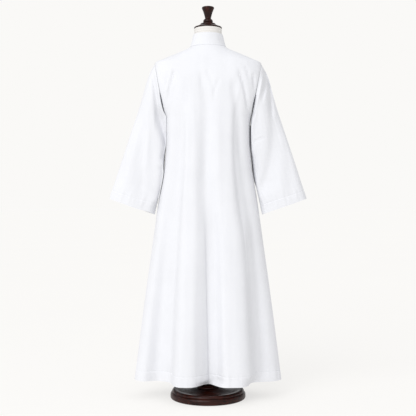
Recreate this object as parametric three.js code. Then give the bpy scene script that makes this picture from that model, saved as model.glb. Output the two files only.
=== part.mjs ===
// A white choir cassock with a band collar and wide bell sleeves, worn by a limbless dress form
// with a turned wooden finial, on a round turned wooden foot.
//
// Millimetres, +Z up. The origin is the middle of the foot's underside. The garment's front faces -Y,
// its back +Y, and the wearer's left is +X.
//
// The body of the cassock is a stack of horizontal rings. A ring is an oval between its two side
// points, and a "ring angle" runs round it in degrees: 0 is the centre back, 90 the wearer's left
// side, 180 the centre front and -90 (or 270) the wearer's right side. The folds are drawn at the
// hem, and fade out up the cloth towards the shoulders.
import * as THREE from "three";

// ---------- driving dimensions ----------
const CLOTH = 1.5; // wall of a single layer of cloth
const COLLAR_CLOTH = 2.2; // wall of the interfaced collar
const SEAM = 0.3; // gap between two pieces at a seam
const COLLAR_SEAM = 0.5; // gap between the panels' curved neckline and the collar
const REST = 0.6; // gap between the cloth and the shoulders of the form that carry it

const NECK_Z = 1538; // seam between collar and back
const TIP_Z = 1463; // shoulder tip, top of the armhole
const UNDERARM_Z = 1225; // bottom of the armhole
const HEM_Z = 75;
const TIP_X = 234;
const UNDERARM_X = 187;
const FRONT_NECK_DROP = 46; // the neckline is this much lower at the centre front
const COLLAR_HEIGHT = 54;
const FRONT_COLLAR_HEIGHT = 46;
const LAP = 18; // each front runs this far past the centre front line
const UNDER = CLOTH + 0.5; // where they lap, the right front lies this far under the left one
const UNDER_END = LAP + 4; // distance from the centre front where it starts to come out again
const LAP_RINGS = 6; // ring angle from the centre front that a front's evenly spaced columns leave free
const FOLD_TOP_Z = 1430; // above this the body hangs without folds
const FOLD_GROWTH = 1.3; // how fast the folds deepen towards the hem
const EDGE_HOLD = 8; // the higher, the closer to the armhole's edge the folds are held back

const BACK_COLUMNS = 52;
const FRONT_COLUMNS = 22; // of one front, besides those at its lap
const COLLAR_COLUMNS = 44;
const LENGTH_PER_DEGREE = 3; // what a degree of ring counts for, in mm, when columns are shared out
const FINE_STEPS = 900; // steps in which the length of the hem is measured
const NECK_ROWS = 5;
const ARMHOLE_ROWS = 7;
const SLEEVE_COLUMNS = 34;
const FORM_COLUMNS = 28;
const FOOT_SIDES = 40;
const CAP_SIDES = 32;
const FINIAL_SIDES = 24;
const POLE_SIDES = 16;

// Rings of the body, from the neck to the hem: half width, depth to the back and to the front, and
// squareness, which is the power of a superellipse: 2 is an ellipse, more is a boxier oval.
const RINGS = [
  { z: 1538, side: 79, back: 68, front: 74, squareness: 2 },
  { z: 1527, side: 98, back: 74, front: 80, squareness: 2 },
  { z: 1514, side: 128, back: 81, front: 88, squareness: 2.1 },
  { z: 1500, side: 161, back: 88, front: 95, squareness: 2.2 },
  { z: 1484, side: 198, back: 94, front: 101, squareness: 2.4 },
  { z: 1463, side: 234, back: 100, front: 108, squareness: 2.7 },
  { z: 1400, side: 222, back: 113, front: 122, squareness: 3 },
  { z: 1330, side: 208, back: 120, front: 128, squareness: 3 },
  { z: 1225, side: 187, back: 122, front: 129, squareness: 3 },
  { z: 1130, side: 183, back: 121, front: 127, squareness: 2.9 },
  { z: 1020, side: 191, back: 118, front: 122, squareness: 2.7 },
  { z: 867, side: 217, back: 113, front: 116, squareness: 2.4 },
  { z: 660, side: 247, back: 108, front: 112, squareness: 2.1 },
  { z: 427, side: 280, back: 104, front: 110, squareness: 2 },
  { z: 75, side: 326, back: 100, front: 108, squareness: 2 },
];

// Heights of the rings below the armhole.
const SKIRT_HEIGHTS = [1176, 1110, 1030, 930, 800, 650, 480, 300, 160, HEM_Z];

// The outline of the hem, seen from above: one row for each crest, wall and valley of the folds.
const HEM_FOLDS = [
  { name: "right side seam", ring: -90, x: -326, y: -24 },
  { name: "right flare crest", ring: -66, x: -284, y: 26 },
  { name: "right valley", ring: -49, x: -230, y: 37 },
  { name: "right wall foot", ring: -40, x: -186, y: 52 },
  { name: "right wall top", ring: -35, x: -171, y: 120 },
  { name: "right pipe outer crest", ring: -29, x: -144, y: 152 },
  { name: "right pipe inner crest", ring: -14, x: -72, y: 155 },
  { name: "right pipe inner wall", ring: -4, x: -32, y: 112 },
  { name: "centre back valley", ring: 7, x: 0, y: 70 },
  { name: "left pipe inner wall", ring: 14, x: 34, y: 112 },
  { name: "left pipe inner crest", ring: 20, x: 68, y: 152 },
  { name: "left pipe outer crest", ring: 29, x: 120, y: 153 },
  { name: "left wall top", ring: 33, x: 146, y: 124 },
  { name: "left wall foot", ring: 38, x: 162, y: 52 },
  { name: "left valley", ring: 51, x: 226, y: 14 },
  { name: "left flare crest", ring: 66, x: 280, y: 30 },
  { name: "left side seam", ring: 90, x: 326, y: -24 },
  { name: "left front flare crest", ring: 110, x: 290, y: -72 },
  { name: "left front valley", ring: 124, x: 244, y: -66 },
  { name: "left front wall", ring: 135, x: 210, y: -104 },
  { name: "left front pipe outer crest", ring: 143, x: 176, y: -150 },
  { name: "left front pipe inner crest", ring: 154, x: 122, y: -156 },
  { name: "left front inner valley", ring: 164, x: 74, y: -114 },
  { name: "centre front", ring: 180, x: 0, y: -140 },
  { name: "right front inner valley", ring: 196, x: -78, y: -112 },
  { name: "right front pipe inner crest", ring: 206, x: -128, y: -155 },
  { name: "right front pipe outer crest", ring: 216, x: -180, y: -148 },
  { name: "right front wall", ring: 225, x: -212, y: -100 },
  { name: "right front valley", ring: 237, x: -248, y: -68 },
  { name: "right front flare crest", ring: 250, x: -290, y: -74 },
];

// The band collar from its top edge down to its seam: share of its height, and half axes.
const COLLAR_RINGS = [
  { share: 1, side: 65.2, back: 63.2, front: 69 },
  { share: 0.5, side: 71.5, back: 64.5, front: 71 },
  { share: 0, side: 79, back: 68, front: 74 },
];
const COLLAR_OPEN = 1.2; // ring angle from the centre front to each end of the collar

// How far the armhole stands out to the back and to the front of the shoulder line.
const ARMHOLE = { back: 72, front: 70, roundness: 0.85 };

// Sections of a sleeve, from the armhole to the cuff: its outer and inner edge, and its half depths.
const SLEEVE_SECTIONS = [
  { along: 0, outerX: TIP_X, outerZ: TIP_Z, innerX: UNDERARM_X, innerZ: UNDERARM_Z, back: 72, front: 70 },
  { along: 0.08, outerX: 257, outerZ: 1420, innerX: 191, innerZ: 1182, back: 71, front: 69 },
  { along: 0.3, outerX: 304, outerZ: 1265, innerX: 194, innerZ: 1086, back: 62, front: 60 },
  { along: 0.55, outerX: 350, outerZ: 1126, innerX: 202, innerZ: 990, back: 55, front: 53 },
  { along: 0.78, outerX: 392, outerZ: 998, innerX: 220, innerZ: 898, back: 50, front: 48 },
  { along: 1, outerX: 433, outerZ: 873, innerX: 240, innerZ: 804, back: 45, front: 43 },
];
const SLEEVE_STATIONS = [0, 0.05, 0.12, 0.21, 0.31, 0.42, 0.54, 0.66, 0.78, 0.89, 1];

// Folds of a sleeve: where each starts and ends along it, its angle round the sleeve there (0 is
// the outer edge, 90 the middle of the back, 180 the inner edge), its depth and its half width.
const LEFT_SLEEVE_FOLDS = [
  { name: "long outer trough", from: -0.1, to: 1.1, start: 58, end: 84, depth: 9, width: 26 },
  { name: "armpit trough", from: 0.02, to: 0.62, start: 104, end: 158, depth: 15, width: 17 },
  { name: "front trough", from: -0.1, to: 1.1, start: 290, end: 268, depth: 10, width: 26 },
  { name: "front armpit trough", from: 0.02, to: 0.55, start: 250, end: 205, depth: 12, width: 18 },
];
const RIGHT_SLEEVE_FOLDS = [
  { name: "long slanting trough", from: 0, to: 0.95, start: 46, end: 116, depth: 15, width: 19 },
  { name: "armpit trough", from: 0.02, to: 0.5, start: 104, end: 138, depth: 10, width: 15 },
  { name: "outer cuff trough", from: 0.45, to: 1.3, start: 30, end: 62, depth: 6, width: 20 },
  { name: "front trough", from: -0.1, to: 1.1, start: 300, end: 262, depth: 11, width: 26 },
  { name: "front armpit trough", from: 0.02, to: 0.55, start: 250, end: 207, depth: 12, width: 18 },
];

// Rings of the dress form's torso below the part of the shoulders that carries the cloth.
const FORM_RINGS = [
  { z: 1452, side: 206, back: 98, front: 104 },
  { z: 1430, side: 206, back: 102, front: 109 },
  { z: 1390, side: 200, back: 107, front: 115 },
  { z: 1320, side: 187, back: 112, front: 120 },
  { z: 1250, side: 172, back: 111, front: 119 },
  { z: 1160, side: 158, back: 101, front: 108 },
  { z: 1070, side: 148, back: 92, front: 98 },
  { z: 970, side: 157, back: 94, front: 101 },
  { z: 880, side: 165, back: 93, front: 98 },
  { z: 806, side: 160, back: 88, front: 92 },
  { z: 800, side: 154, back: 82, front: 86 },
];
const FORM_NECK_TOP_Z = 1620;
const FORM_NECK = [
  { z: FORM_NECK_TOP_Z, radius: 58.5, lean: 0 },
  { z: FORM_NECK_TOP_Z - 2, radius: 60.5, lean: 0 },
  { z: 1588, radius: 60.5, lean: 0.35 },
  { z: 1560, radius: 61, lean: 0.75 },
  { z: 1543, radius: 63.2, lean: 1 },
]; // lean is the share of the neckline's drop that a ring takes at the front
const FORM_SHOULDER_HEIGHTS = [1536, 1523, 1508, 1493, 1481]; // of the cloth that they carry
const FORM_UNDER_LAP = { none: 0.25, all: 0.74 }; // front shares between which it makes room for the lap

// Turned pieces, as profiles from the axis at the bottom round to the axis at the top.
const FOOT = [
  { radius: 0, z: 0 },
  { radius: 158, z: 0 },
  { radius: 163, z: 2 },
  { radius: 165, z: 6 },
  { radius: 165, z: 21 },
  { radius: 163, z: 24.5 },
  { radius: 157, z: 27 },
  { radius: 158, z: 30 },
  { radius: 155, z: 36 },
  { radius: 148, z: 39.5 },
  { radius: 130, z: 37.5 },
  { radius: 84, z: 38.5 },
  { radius: 58, z: 43 },
  { radius: 0, z: 43 },
];
const HUB = [
  { radius: 0, z: 43 + SEAM },
  { radius: 47, z: 43 + SEAM },
  { radius: 48.5, z: 47 },
  { radius: 46, z: 52 },
  { radius: 36, z: 62 },
  { radius: 25, z: 69 },
  { radius: 21, z: 76 },
  { radius: 0, z: 76 },
];
const NECK_CAP = [
  { radius: 0, z: FORM_NECK_TOP_Z + SEAM },
  { radius: 59, z: FORM_NECK_TOP_Z + SEAM },
  { radius: 61.5, z: 1622.5 },
  { radius: 60, z: 1626 },
  { radius: 48, z: 1631 },
  { radius: 36, z: 1637 },
  { radius: 32.5, z: 1642 },
  { radius: 18, z: 1643.5 },
  { radius: 0, z: 1643.5 },
];
const FINIAL = [
  { radius: 0, z: 1643.5 + SEAM },
  { radius: 14, z: 1643.5 + SEAM },
  { radius: 19, z: 1645.5 },
  { radius: 21.5, z: 1652 },
  { radius: 19, z: 1659 },
  { radius: 13.2, z: 1664 },
  { radius: 13.6, z: 1669 },
  { radius: 18.5, z: 1688 },
  { radius: 25.6, z: 1707 },
  { radius: 27, z: 1711 },
  { radius: 25.5, z: 1715 },
  { radius: 14, z: 1717.5 },
  { radius: 0, z: 1718 },
];
const POLE_RADIUS = 16;

// ---------- finishes ----------
const cotton = new THREE.MeshStandardMaterial({ color: 0xf7f8fb, roughness: 0.85, metalness: 0 });
const linen = new THREE.MeshStandardMaterial({ color: 0xe9e4dc, roughness: 0.9, metalness: 0 });
const wood = new THREE.MeshStandardMaterial({ color: 0x34160d, roughness: 0.25, metalness: 0 });
const steel = new THREE.MeshStandardMaterial({ color: 0x2b211c, roughness: 0.4, metalness: 0.7 });

// ---------- small helpers ----------
const rad = THREE.MathUtils.degToRad;
const lerp = THREE.MathUtils.lerp;
const smoothstep = THREE.MathUtils.smoothstep;

// A smooth curve without overshoot through the rows of a table: column against key.
function curve(rows, key, column) {
  const xs = rows.map((row) => row[key]);
  const ys = rows.map((row) => row[column]);
  const chords = xs.slice(1).map((x, i) => (ys[i + 1] - ys[i]) / (x - xs[i]));
  const slopes = xs.map((_, i) => {
    const before = chords[Math.max(i - 1, 0)];
    const after = chords[Math.min(i, chords.length - 1)];
    return before * after <= 0 ? 0 : (2 * before * after) / (before + after);
  });
  const rising = xs[0] < xs[xs.length - 1];
  return (x) => {
    let i = 0;
    while (i < chords.length - 1 && (rising ? x > xs[i + 1] : x < xs[i + 1])) i++;
    const span = xs[i + 1] - xs[i];
    const t = THREE.MathUtils.clamp((x - xs[i]) / span, 0, 1);
    const rise = slopes[i] * span;
    const fall = slopes[i + 1] * span;
    return (
      ys[i] * (1 + 2 * t) * (1 - t) ** 2 +
      rise * t * (1 - t) ** 2 +
      ys[i + 1] * t * t * (3 - 2 * t) -
      fall * t * t * (1 - t)
    );
  };
}

// n + 1 numbers from a to b, with both ends.
const steps = (n, a, b) => Array.from({ length: n + 1 }, (_, i) => lerp(a, b, i / n));

// ---------- the body's surface ----------
const around = [-360, 0, 360].flatMap((turn) => HEM_FOLDS.map((row) => ({ ...row, ring: row.ring + turn })));
const hemX = curve(around, "ring", "x");
const hemY = curve(around, "ring", "y");
const hemPoint = (ring) => new THREE.Vector2(hemX(ring), hemY(ring));
const ringSideCurve = curve(RINGS, "z", "side");
const ringBack = curve(RINGS, "z", "back");
const ringFront = curve(RINGS, "z", "front");
const ringSquareness = curve(RINGS, "z", "squareness");

// How far round the armhole a height lies, 0 at the shoulder tip and 180 at the underarm, in radians.
function armholeAngle(z) {
  const middle = (TIP_Z + UNDERARM_Z) / 2;
  return Math.acos(THREE.MathUtils.clamp((z - middle) / (TIP_Z - middle), -1, 1));
}

// How far the armhole's edge lies behind (or before) the shoulder line at a height.
const armholeDepth = (z, isBack) =>
  (isBack ? ARMHOLE.back : ARMHOLE.front) * Math.sin(armholeAngle(z)) ** ARMHOLE.roundness;

// A ring's half width, which runs straight from the shoulder tip to the underarm.
function ringSide(z) {
  const beside = (z - UNDERARM_Z) / (TIP_Z - UNDERARM_Z);
  return beside > 0 && beside < 1 ? lerp(UNDERARM_X, TIP_X, beside) : ringSideCurve(z);
}

// The side of the superellipse that goes with the other side, both as shares of the half axes.
const otherShare = (share, power) => Math.max(0, 1 - Math.abs(share) ** power) ** (1 / power);

// The share of the oval's half width at which a ring is cut off by the armhole: 1 is nowhere.
const cutShare = (z, isBack) =>
  otherShare(armholeDepth(z, isBack) / (isBack ? ringBack : ringFront)(z), ringSquareness(z));

// The same as an angle on the oval, from the centre back or the centre front: 90 is nowhere.
const cutAngle = (z, isBack) => THREE.MathUtils.radToDeg(Math.asin(cutShare(z, isBack)));

const onBack = (angle) => Math.cos(rad(angle)) >= 0;

// The unfolded ring: an oval, at an angle on the whole of it.
function ovalPoint(angle, z) {
  const isBack = onBack(angle);
  const sine = Math.sin(rad(angle));
  const depth = (isBack ? ringBack : ringFront)(z) * otherShare(sine, ringSquareness(z));
  return new THREE.Vector2((ringSide(z) / cutShare(z, isBack)) * sine, isBack ? depth : -depth);
}

// How far the hem's folds carry a point of the unfolded hem.
const hemShift = (angle) => hemPoint(angle).sub(ovalPoint(angle, HEM_Z));

// An ellipse with one half depth at the back and another at the front.
function plainOval(ring, z, side, back, front) {
  const depth = (onBack(ring) ? back : front) * Math.cos(rad(ring));
  return new THREE.Vector3(side * Math.sin(rad(ring)), depth, z);
}

// The share of the neckline's drop at a ring angle: all of it at the centre front, none at the back.
const frontShare = (ring) => Math.max(0, -Math.cos(rad(ring))) ** 2;

// A point of the cassock's outer surface. Beside the armhole the columns draw together, because
// the oval is wider there and cut off, and the folds are held back so that the edge stays in place.
function bodyPoint(ring, z) {
  const isBack = onBack(ring);
  const cut = cutAngle(z, isBack);
  const away = isBack ? ring : ring - 180; // from the centre back, or from the centre front
  const drawn = ((away - 360 * Math.round(away / 360)) * cut) / 90;
  const angle = isBack ? drawn : 180 + drawn;
  const side = Math.sign(Math.sin(rad(ring)));
  const edge = side * (isBack ? cut : 180 - cut);
  const held = Math.abs(Math.sin(rad(ring))) ** EDGE_HOLD;
  const shift = hemShift(angle).addScaledVector(hemShift(edge).sub(hemShift(90 * side)), -held);
  const growth = Math.max(0, (FOLD_TOP_Z - z) / (FOLD_TOP_Z - HEM_Z)) ** FOLD_GROWTH;
  const at = ovalPoint(angle, z).addScaledVector(shift, growth);
  const neckShare = Math.max(0, (z - TIP_Z) / (NECK_Z - TIP_Z));
  return new THREE.Vector3(at.x, at.y, z - FRONT_NECK_DROP * frontShare(ring) * neckShare);
}

// The heights of a panel's rows, from the neck to the hem.
const BODY_HEIGHTS = [
  ...steps(NECK_ROWS, NECK_Z, TIP_Z).slice(0, -1),
  ...steps(ARMHOLE_ROWS, 0, Math.PI).map(
    (angle) => (TIP_Z + UNDERARM_Z) / 2 + ((TIP_Z - UNDERARM_Z) / 2) * Math.cos(angle),
  ),
  ...SKIRT_HEIGHTS,
];

// Ring angles that share out the cloth evenly, mostly by its length at the hem and partly by angle.
function evenRings(first, last, columns) {
  const fine = steps(FINE_STEPS, first, last);
  const lengths = [0];
  fine.slice(1).forEach((ring, i) => {
    const turn = Math.abs(ring - fine[i]) * LENGTH_PER_DEGREE;
    lengths.push(lengths[i] + hemPoint(ring).distanceTo(hemPoint(fine[i])) + turn);
  });
  const total = lengths[lengths.length - 1];
  return steps(columns, 0, total).map((length) => {
    const i = Math.min(Math.max(lengths.findIndex((l) => l >= length), 1), fine.length - 1);
    const share = (length - lengths[i - 1]) / (lengths[i] - lengths[i - 1]);
    return lerp(fine[i - 1], fine[i], THREE.MathUtils.clamp(share, 0, 1));
  });
}

// ---------- walls of cloth ----------
// A closed solid from a grid of outer points and its normals: the cloth is the wall inside them.
function clothWall(points, normals, thickness, isTube) {
  const rows = points.length;
  const columns = points[0].length;
  const positions = [];
  for (const side of [0, thickness]) {
    points.forEach((row, j) =>
      row.forEach((point, i) => positions.push(...point.clone().addScaledVector(normals[j][i], -side))),
    );
  }
  const inner = rows * columns;
  const at = (j, i) => j * columns + (i % columns);
  const faces = [];
  const quad = (a, b, c, d) => faces.push(a, b, c, a, c, d);
  const across = isTube ? columns : columns - 1;
  for (let j = 0; j < rows - 1; j++) {
    for (let i = 0; i < across; i++) {
      quad(at(j, i), at(j, i + 1), at(j + 1, i + 1), at(j + 1, i));
      quad(inner + at(j, i), inner + at(j + 1, i), inner + at(j + 1, i + 1), inner + at(j, i + 1));
    }
  }
  const rim = (a, b) => quad(b, a, inner + a, inner + b);
  for (let i = 0; i < across; i++) {
    rim(at(0, i), at(0, i + 1));
    rim(at(rows - 1, i + 1), at(rows - 1, i));
  }
  for (let j = 0; j < rows - 1 && !isTube; j++) {
    rim(at(j + 1, 0), at(j, 0));
    rim(at(j, columns - 1), at(j + 1, columns - 1));
  }
  const geometry = new THREE.BufferGeometry();
  geometry.setAttribute("position", new THREE.Float32BufferAttribute(positions, 3));
  geometry.setIndex(faces);
  geometry.computeVertexNormals();
  return geometry;
}

// Outward normals of a grid whose columns run clockwise, seen from above, and whose rows run down.
function gridNormals(points, isTube) {
  const columns = points[0].length;
  const pick = (row, i) => row[isTube ? (i + columns) % columns : THREE.MathUtils.clamp(i, 0, columns - 1)];
  return points.map((row, j) =>
    row.map((_, i) => {
      const across = pick(row, i + 1).clone().sub(pick(row, i - 1));
      const below = points[Math.min(j + 1, points.length - 1)][i];
      const down = below.clone().sub(points[Math.max(j - 1, 0)][i]);
      return across.cross(down).normalize();
    }),
  );
}

// Lays a normal into the plane that a piece ends in, so that the end of its wall is flat there.
const layInPlane = (normal, planeNormal) => normal.projectOnPlane(planeNormal).normalize();

// The plane of the armhole on the wearer's left or right, by its outward normal.
function armholePlane(isLeft) {
  const outward = isLeft ? 1 : -1;
  return new THREE.Vector3(outward * (TIP_Z - UNDERARM_Z), 0, UNDERARM_X - TIP_X).normalize();
}

// Turns a panel's normals at a side edge: into the armhole's plane, or into the seam's own plane.
function trimSideNormals(normals, column, isLeft) {
  BODY_HEIGHTS.forEach((z, j) => {
    const atArmhole = armholeDepth(z, true) > CLOTH;
    layInPlane(normals[j][column], atArmhole ? armholePlane(isLeft) : new THREE.Vector3(0, 1, 0));
  });
}

// The ring angle that half a seam takes up at a side.
const seamAngle = (z, isBack) => THREE.MathUtils.radToDeg(SEAM / 2 / (isBack ? ringBack : ringFront)(z));

function backPanel() {
  const rings = evenRings(-90, 90, BACK_COLUMNS);
  const points = BODY_HEIGHTS.map((z) => {
    const limit = 90 - seamAngle(z, true);
    return rings.map((ring) => bodyPoint(THREE.MathUtils.clamp(ring, -limit, limit), z));
  });
  const normals = gridNormals(points, false);
  trimSideNormals(normals, 0, false);
  trimSideNormals(normals, rings.length - 1, true);
  return clothWall(points, normals, CLOTH, false);
}

// A front, from its side seam to its edge, which runs LAP past the centre front. lapDistances are
// the columns near that edge, as distances from the centre front towards the panel's own side.
// tuck says how far the cloth is moved in at a distance, where it passes under the other front.
function frontPanel(isLeft, lapDistances, tuck) {
  const side = isLeft ? 90 : 270;
  const outward = isLeft ? -1 : 1; // of the ring angle, from the centre front to the side
  const shared = evenRings(side, 180 + outward * LAP_RINGS, FRONT_COLUMNS);
  const columns = BODY_HEIGHTS.map((z) => {
    const degree = bodyPoint(181, z).distanceTo(bodyPoint(179, z)) / 2; // mm to a degree here
    const lap = lapDistances.map((distance) => ({ ring: 180 + (outward * distance) / degree, distance }));
    const seam = side - outward * seamAngle(z, false);
    const rest = shared.slice(0, -1).map((ring) => {
      const share = (ring - side) / (shared[shared.length - 1] - side);
      const at = lerp(seam, lap[0].ring, share);
      return { ring: at, distance: Math.abs(at - 180) * degree };
    });
    const row = [...rest, ...lap];
    return isLeft ? row : row.reverse();
  });
  const points = columns.map((row, j) => row.map(({ ring }) => bodyPoint(ring, BODY_HEIGHTS[j])));
  const flat = gridNormals(points, false);
  points.forEach((row, j) =>
    row.forEach((point, i) => point.addScaledVector(flat[j][i], -tuck(columns[j][i].distance))),
  );
  const normals = gridNormals(points, false);
  trimSideNormals(normals, isLeft ? 0 : normals[0].length - 1, isLeft);
  return clothWall(points, normals, CLOTH, false);
}

// The band collar, open at the centre front, where its two ends meet.
function collar() {
  const points = COLLAR_RINGS.map(({ share, side, back, front }) =>
    steps(COLLAR_COLUMNS, -180 + COLLAR_OPEN, 180 - COLLAR_OPEN).map((ring) => {
      const height = lerp(COLLAR_HEIGHT, FRONT_COLLAR_HEIGHT, frontShare(ring));
      const seamZ = NECK_Z + COLLAR_SEAM - FRONT_NECK_DROP * frontShare(ring);
      return plainOval(ring, seamZ + share * height, side, back, front);
    }),
  );
  const normals = gridNormals(points, false);
  normals.forEach((row) => row.forEach((normal) => normal.setZ(0).normalize()));
  return clothWall(points, normals, COLLAR_CLOTH, false);
}

// ---------- sleeves ----------
const sleeveCurves = Object.fromEntries(
  ["outerX", "outerZ", "innerX", "innerZ", "back", "front"].map((column) => [
    column,
    curve(SLEEVE_SECTIONS, "along", column),
  ]),
);

// How deep the folds press into a sleeve at a station and an angle round it, in degrees.
function sleeveFoldDepth(folds, along, around) {
  return folds.reduce((sum, fold) => {
    const t = (along - fold.from) / (fold.to - fold.from);
    if (t <= 0 || t >= 1) return sum;
    const off = (around - lerp(fold.start, fold.end, t)) / fold.width;
    return sum + fold.depth * Math.sin(Math.PI * t) ** 0.7 * Math.exp(-off * off);
  }, 0);
}

// A point of the left sleeve's outer surface. The right sleeve is its mirror, with its own folds.
function sleevePoint(along, around, folds) {
  const at = Object.fromEntries(Object.entries(sleeveCurves).map(([name, of]) => [name, of(along)]));
  const outer = new THREE.Vector3(at.outerX, 0, at.outerZ);
  const inner = new THREE.Vector3(at.innerX, 0, at.innerZ);
  const angle = rad(around);
  const sine = Math.sin(angle);
  const isBack = sine >= 0;
  const press = sleeveFoldDepth(folds, along, around);
  const depth = Math.max(0, (isBack ? at.back : at.front) * Math.abs(sine) ** ARMHOLE.roundness - press);
  return outer
    .clone()
    .add(inner)
    .multiplyScalar(0.5)
    .addScaledVector(outer.sub(inner), Math.cos(angle) / 2)
    .setY(isBack ? depth : -depth);
}

function sleeve(isLeft) {
  const folds = isLeft ? LEFT_SLEEVE_FOLDS : RIGHT_SLEEVE_FOLDS;
  const turns = steps(SLEEVE_COLUMNS, 360, 0).slice(0, -1);
  const points = SLEEVE_STATIONS.map((along) => turns.map((around) => sleevePoint(along, around, folds)));
  const clear = armholePlane(true).multiplyScalar(SEAM);
  points[0].forEach((point) => point.add(clear));
  const normals = gridNormals(points, true);
  normals[0].forEach((normal) => layInPlane(normal, armholePlane(true)));
  if (!isLeft) {
    for (const vector of [...points.flat(), ...normals.flat()]) vector.x *= -1;
    for (const row of [...points, ...normals]) row.reverse();
  }
  return clothWall(points, normals, CLOTH, true);
}

// ---------- the dress form ----------
// A closed solid from a stack of rings that run down, capped at both ends.
function loft(rings) {
  const columns = rings[0].length;
  const positions = rings.flat().flatMap((point) => [...point]);
  const faces = [];
  for (let j = 0; j < rings.length - 1; j++) {
    for (let i = 0; i < columns; i++) {
      const next = (i + 1) % columns;
      const above = j * columns;
      const below = above + columns;
      faces.push(above + i, above + next, below + next, above + i, below + next, below + i);
    }
  }
  const last = (rings.length - 1) * columns;
  for (let i = 1; i < columns - 1; i++) {
    faces.push(0, i + 1, i, last, last + i, last + i + 1);
  }
  const geometry = new THREE.BufferGeometry();
  geometry.setAttribute("position", new THREE.Float32BufferAttribute(positions, 3));
  geometry.setIndex(faces);
  geometry.computeVertexNormals();
  return geometry;
}

// The torso: a round neck, shoulders that carry the cloth, and a plain chest, waist and hips.
function formTorso() {
  const turns = steps(FORM_COLUMNS, -180, 180).slice(0, -1);
  const drop = (ring) => FRONT_NECK_DROP * frontShare(ring);
  const neck = FORM_NECK.map(({ z, radius, lean }) =>
    turns.map((ring) => plainOval(ring, z - lean * drop(ring), radius, radius, radius)),
  );
  const shoulders = FORM_SHOULDER_HEIGHTS.map((z) =>
    turns.map((ring) => {
      const on = bodyPoint(ring, z);
      const across = bodyPoint(ring + 1, z).sub(bodyPoint(ring - 1, z));
      const down = bodyPoint(ring, z - 2).sub(bodyPoint(ring, z + 2));
      const underLap = UNDER * smoothstep(frontShare(ring), FORM_UNDER_LAP.none, FORM_UNDER_LAP.all);
      return on.addScaledVector(across.cross(down).normalize(), -CLOTH - REST - underLap);
    }),
  );
  const torso = FORM_RINGS.map(({ z, side, back, front }) =>
    turns.map((ring) => plainOval(ring, z, side, back, front)),
  );
  return loft([...neck, ...shoulders, ...torso]);
}

const turned = (profile, sides) => {
  const outline = profile.map(({ radius, z }) => new THREE.Vector2(radius, z));
  return new THREE.LatheGeometry(outline, sides).rotateX(Math.PI / 2);
};

function pole() {
  const foot = HUB[HUB.length - 1].z + SEAM;
  const top = FORM_RINGS[FORM_RINGS.length - 1].z - SEAM;
  return new THREE.CylinderGeometry(POLE_RADIUS, POLE_RADIUS, top - foot, POLE_SIDES)
    .rotateX(Math.PI / 2)
    .translate(0, 0, (top + foot) / 2);
}

// ---------- the object ----------
const whole = new THREE.Group();
const garment = new THREE.Group();
const stand = new THREE.Group();
whole.add(garment, stand);

function piece(group, name, geometry, material) {
  const mesh = new THREE.Mesh(geometry, material);
  mesh.name = name;
  group.add(mesh);
}

const noTuck = () => 0;
const underLeft = (distance) => UNDER * (1 - smoothstep(distance, UNDER_END, 2 * LAP));
const leftLap = [LAP, LAP / 2, 0, -LAP / 2, -LAP];
const rightLap = [2 * LAP, UNDER_END, LAP / 2, 0, -LAP / 2, -LAP];

piece(garment, "back", backPanel(), cotton);
piece(garment, "front_left", frontPanel(true, leftLap, noTuck), cotton);
piece(garment, "front_right", frontPanel(false, rightLap, underLeft), cotton);
piece(garment, "collar", collar(), cotton);
piece(garment, "sleeve_left", sleeve(true), cotton);
piece(garment, "sleeve_right", sleeve(false), cotton);

piece(stand, "form_torso", formTorso(), linen);
piece(stand, "form_neck_cap", turned(NECK_CAP, CAP_SIDES), wood);
piece(stand, "form_finial", turned(FINIAL, FINIAL_SIDES), wood);
piece(stand, "stand_pole", pole(), steel);
piece(stand, "stand_hub", turned(HUB, FINIAL_SIDES), wood);
piece(stand, "stand_foot", turned(FOOT, FOOT_SIDES), wood);

export default whole;
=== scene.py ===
"""Looks of a white choir cassock that hangs on a limbless dress form with a turned wooden foot.

Sizes in the tables are millimetres, as a maker would measure them, and every mesh is made in
metres. The garment's front faces -Y, its back +Y, and the wearer's left is +X. A "ring angle"
runs round the body in degrees: 0 is the centre back, 90 the wearer's left side, 180 the centre
front and -90 the wearer's right side.
"""

import logging
from dataclasses import dataclass
from enum import Enum
from typing import ClassVar

import bpy
import numpy as np
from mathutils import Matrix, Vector, noise


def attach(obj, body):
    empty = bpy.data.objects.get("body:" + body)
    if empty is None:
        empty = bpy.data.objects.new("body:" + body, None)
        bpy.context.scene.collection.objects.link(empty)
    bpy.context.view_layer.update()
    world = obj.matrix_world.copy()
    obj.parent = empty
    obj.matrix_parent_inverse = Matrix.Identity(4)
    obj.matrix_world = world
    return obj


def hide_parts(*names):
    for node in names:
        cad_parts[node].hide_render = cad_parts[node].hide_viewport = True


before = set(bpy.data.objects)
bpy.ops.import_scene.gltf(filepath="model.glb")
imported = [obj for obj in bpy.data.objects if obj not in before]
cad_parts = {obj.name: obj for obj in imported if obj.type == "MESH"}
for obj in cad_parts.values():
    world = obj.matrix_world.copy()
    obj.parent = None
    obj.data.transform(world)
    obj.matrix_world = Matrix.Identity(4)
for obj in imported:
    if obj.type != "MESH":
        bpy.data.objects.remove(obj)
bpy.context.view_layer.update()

LOG = logging.getLogger("cassock")
Array = np.ndarray
MM = 0.001
BODY = "root"

CLOTH = 1.5  # a single layer of the cassock's cloth
HEM_CLOTH = 2.6  # where it is turned up
COLLAR_CLOTH = 2.2
SEAM = 0.3  # between two pieces that are sewn or fitted together
COLLAR_SEAM = 0.5
REST = 0.6  # between the cloth and the form's shoulders

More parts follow.
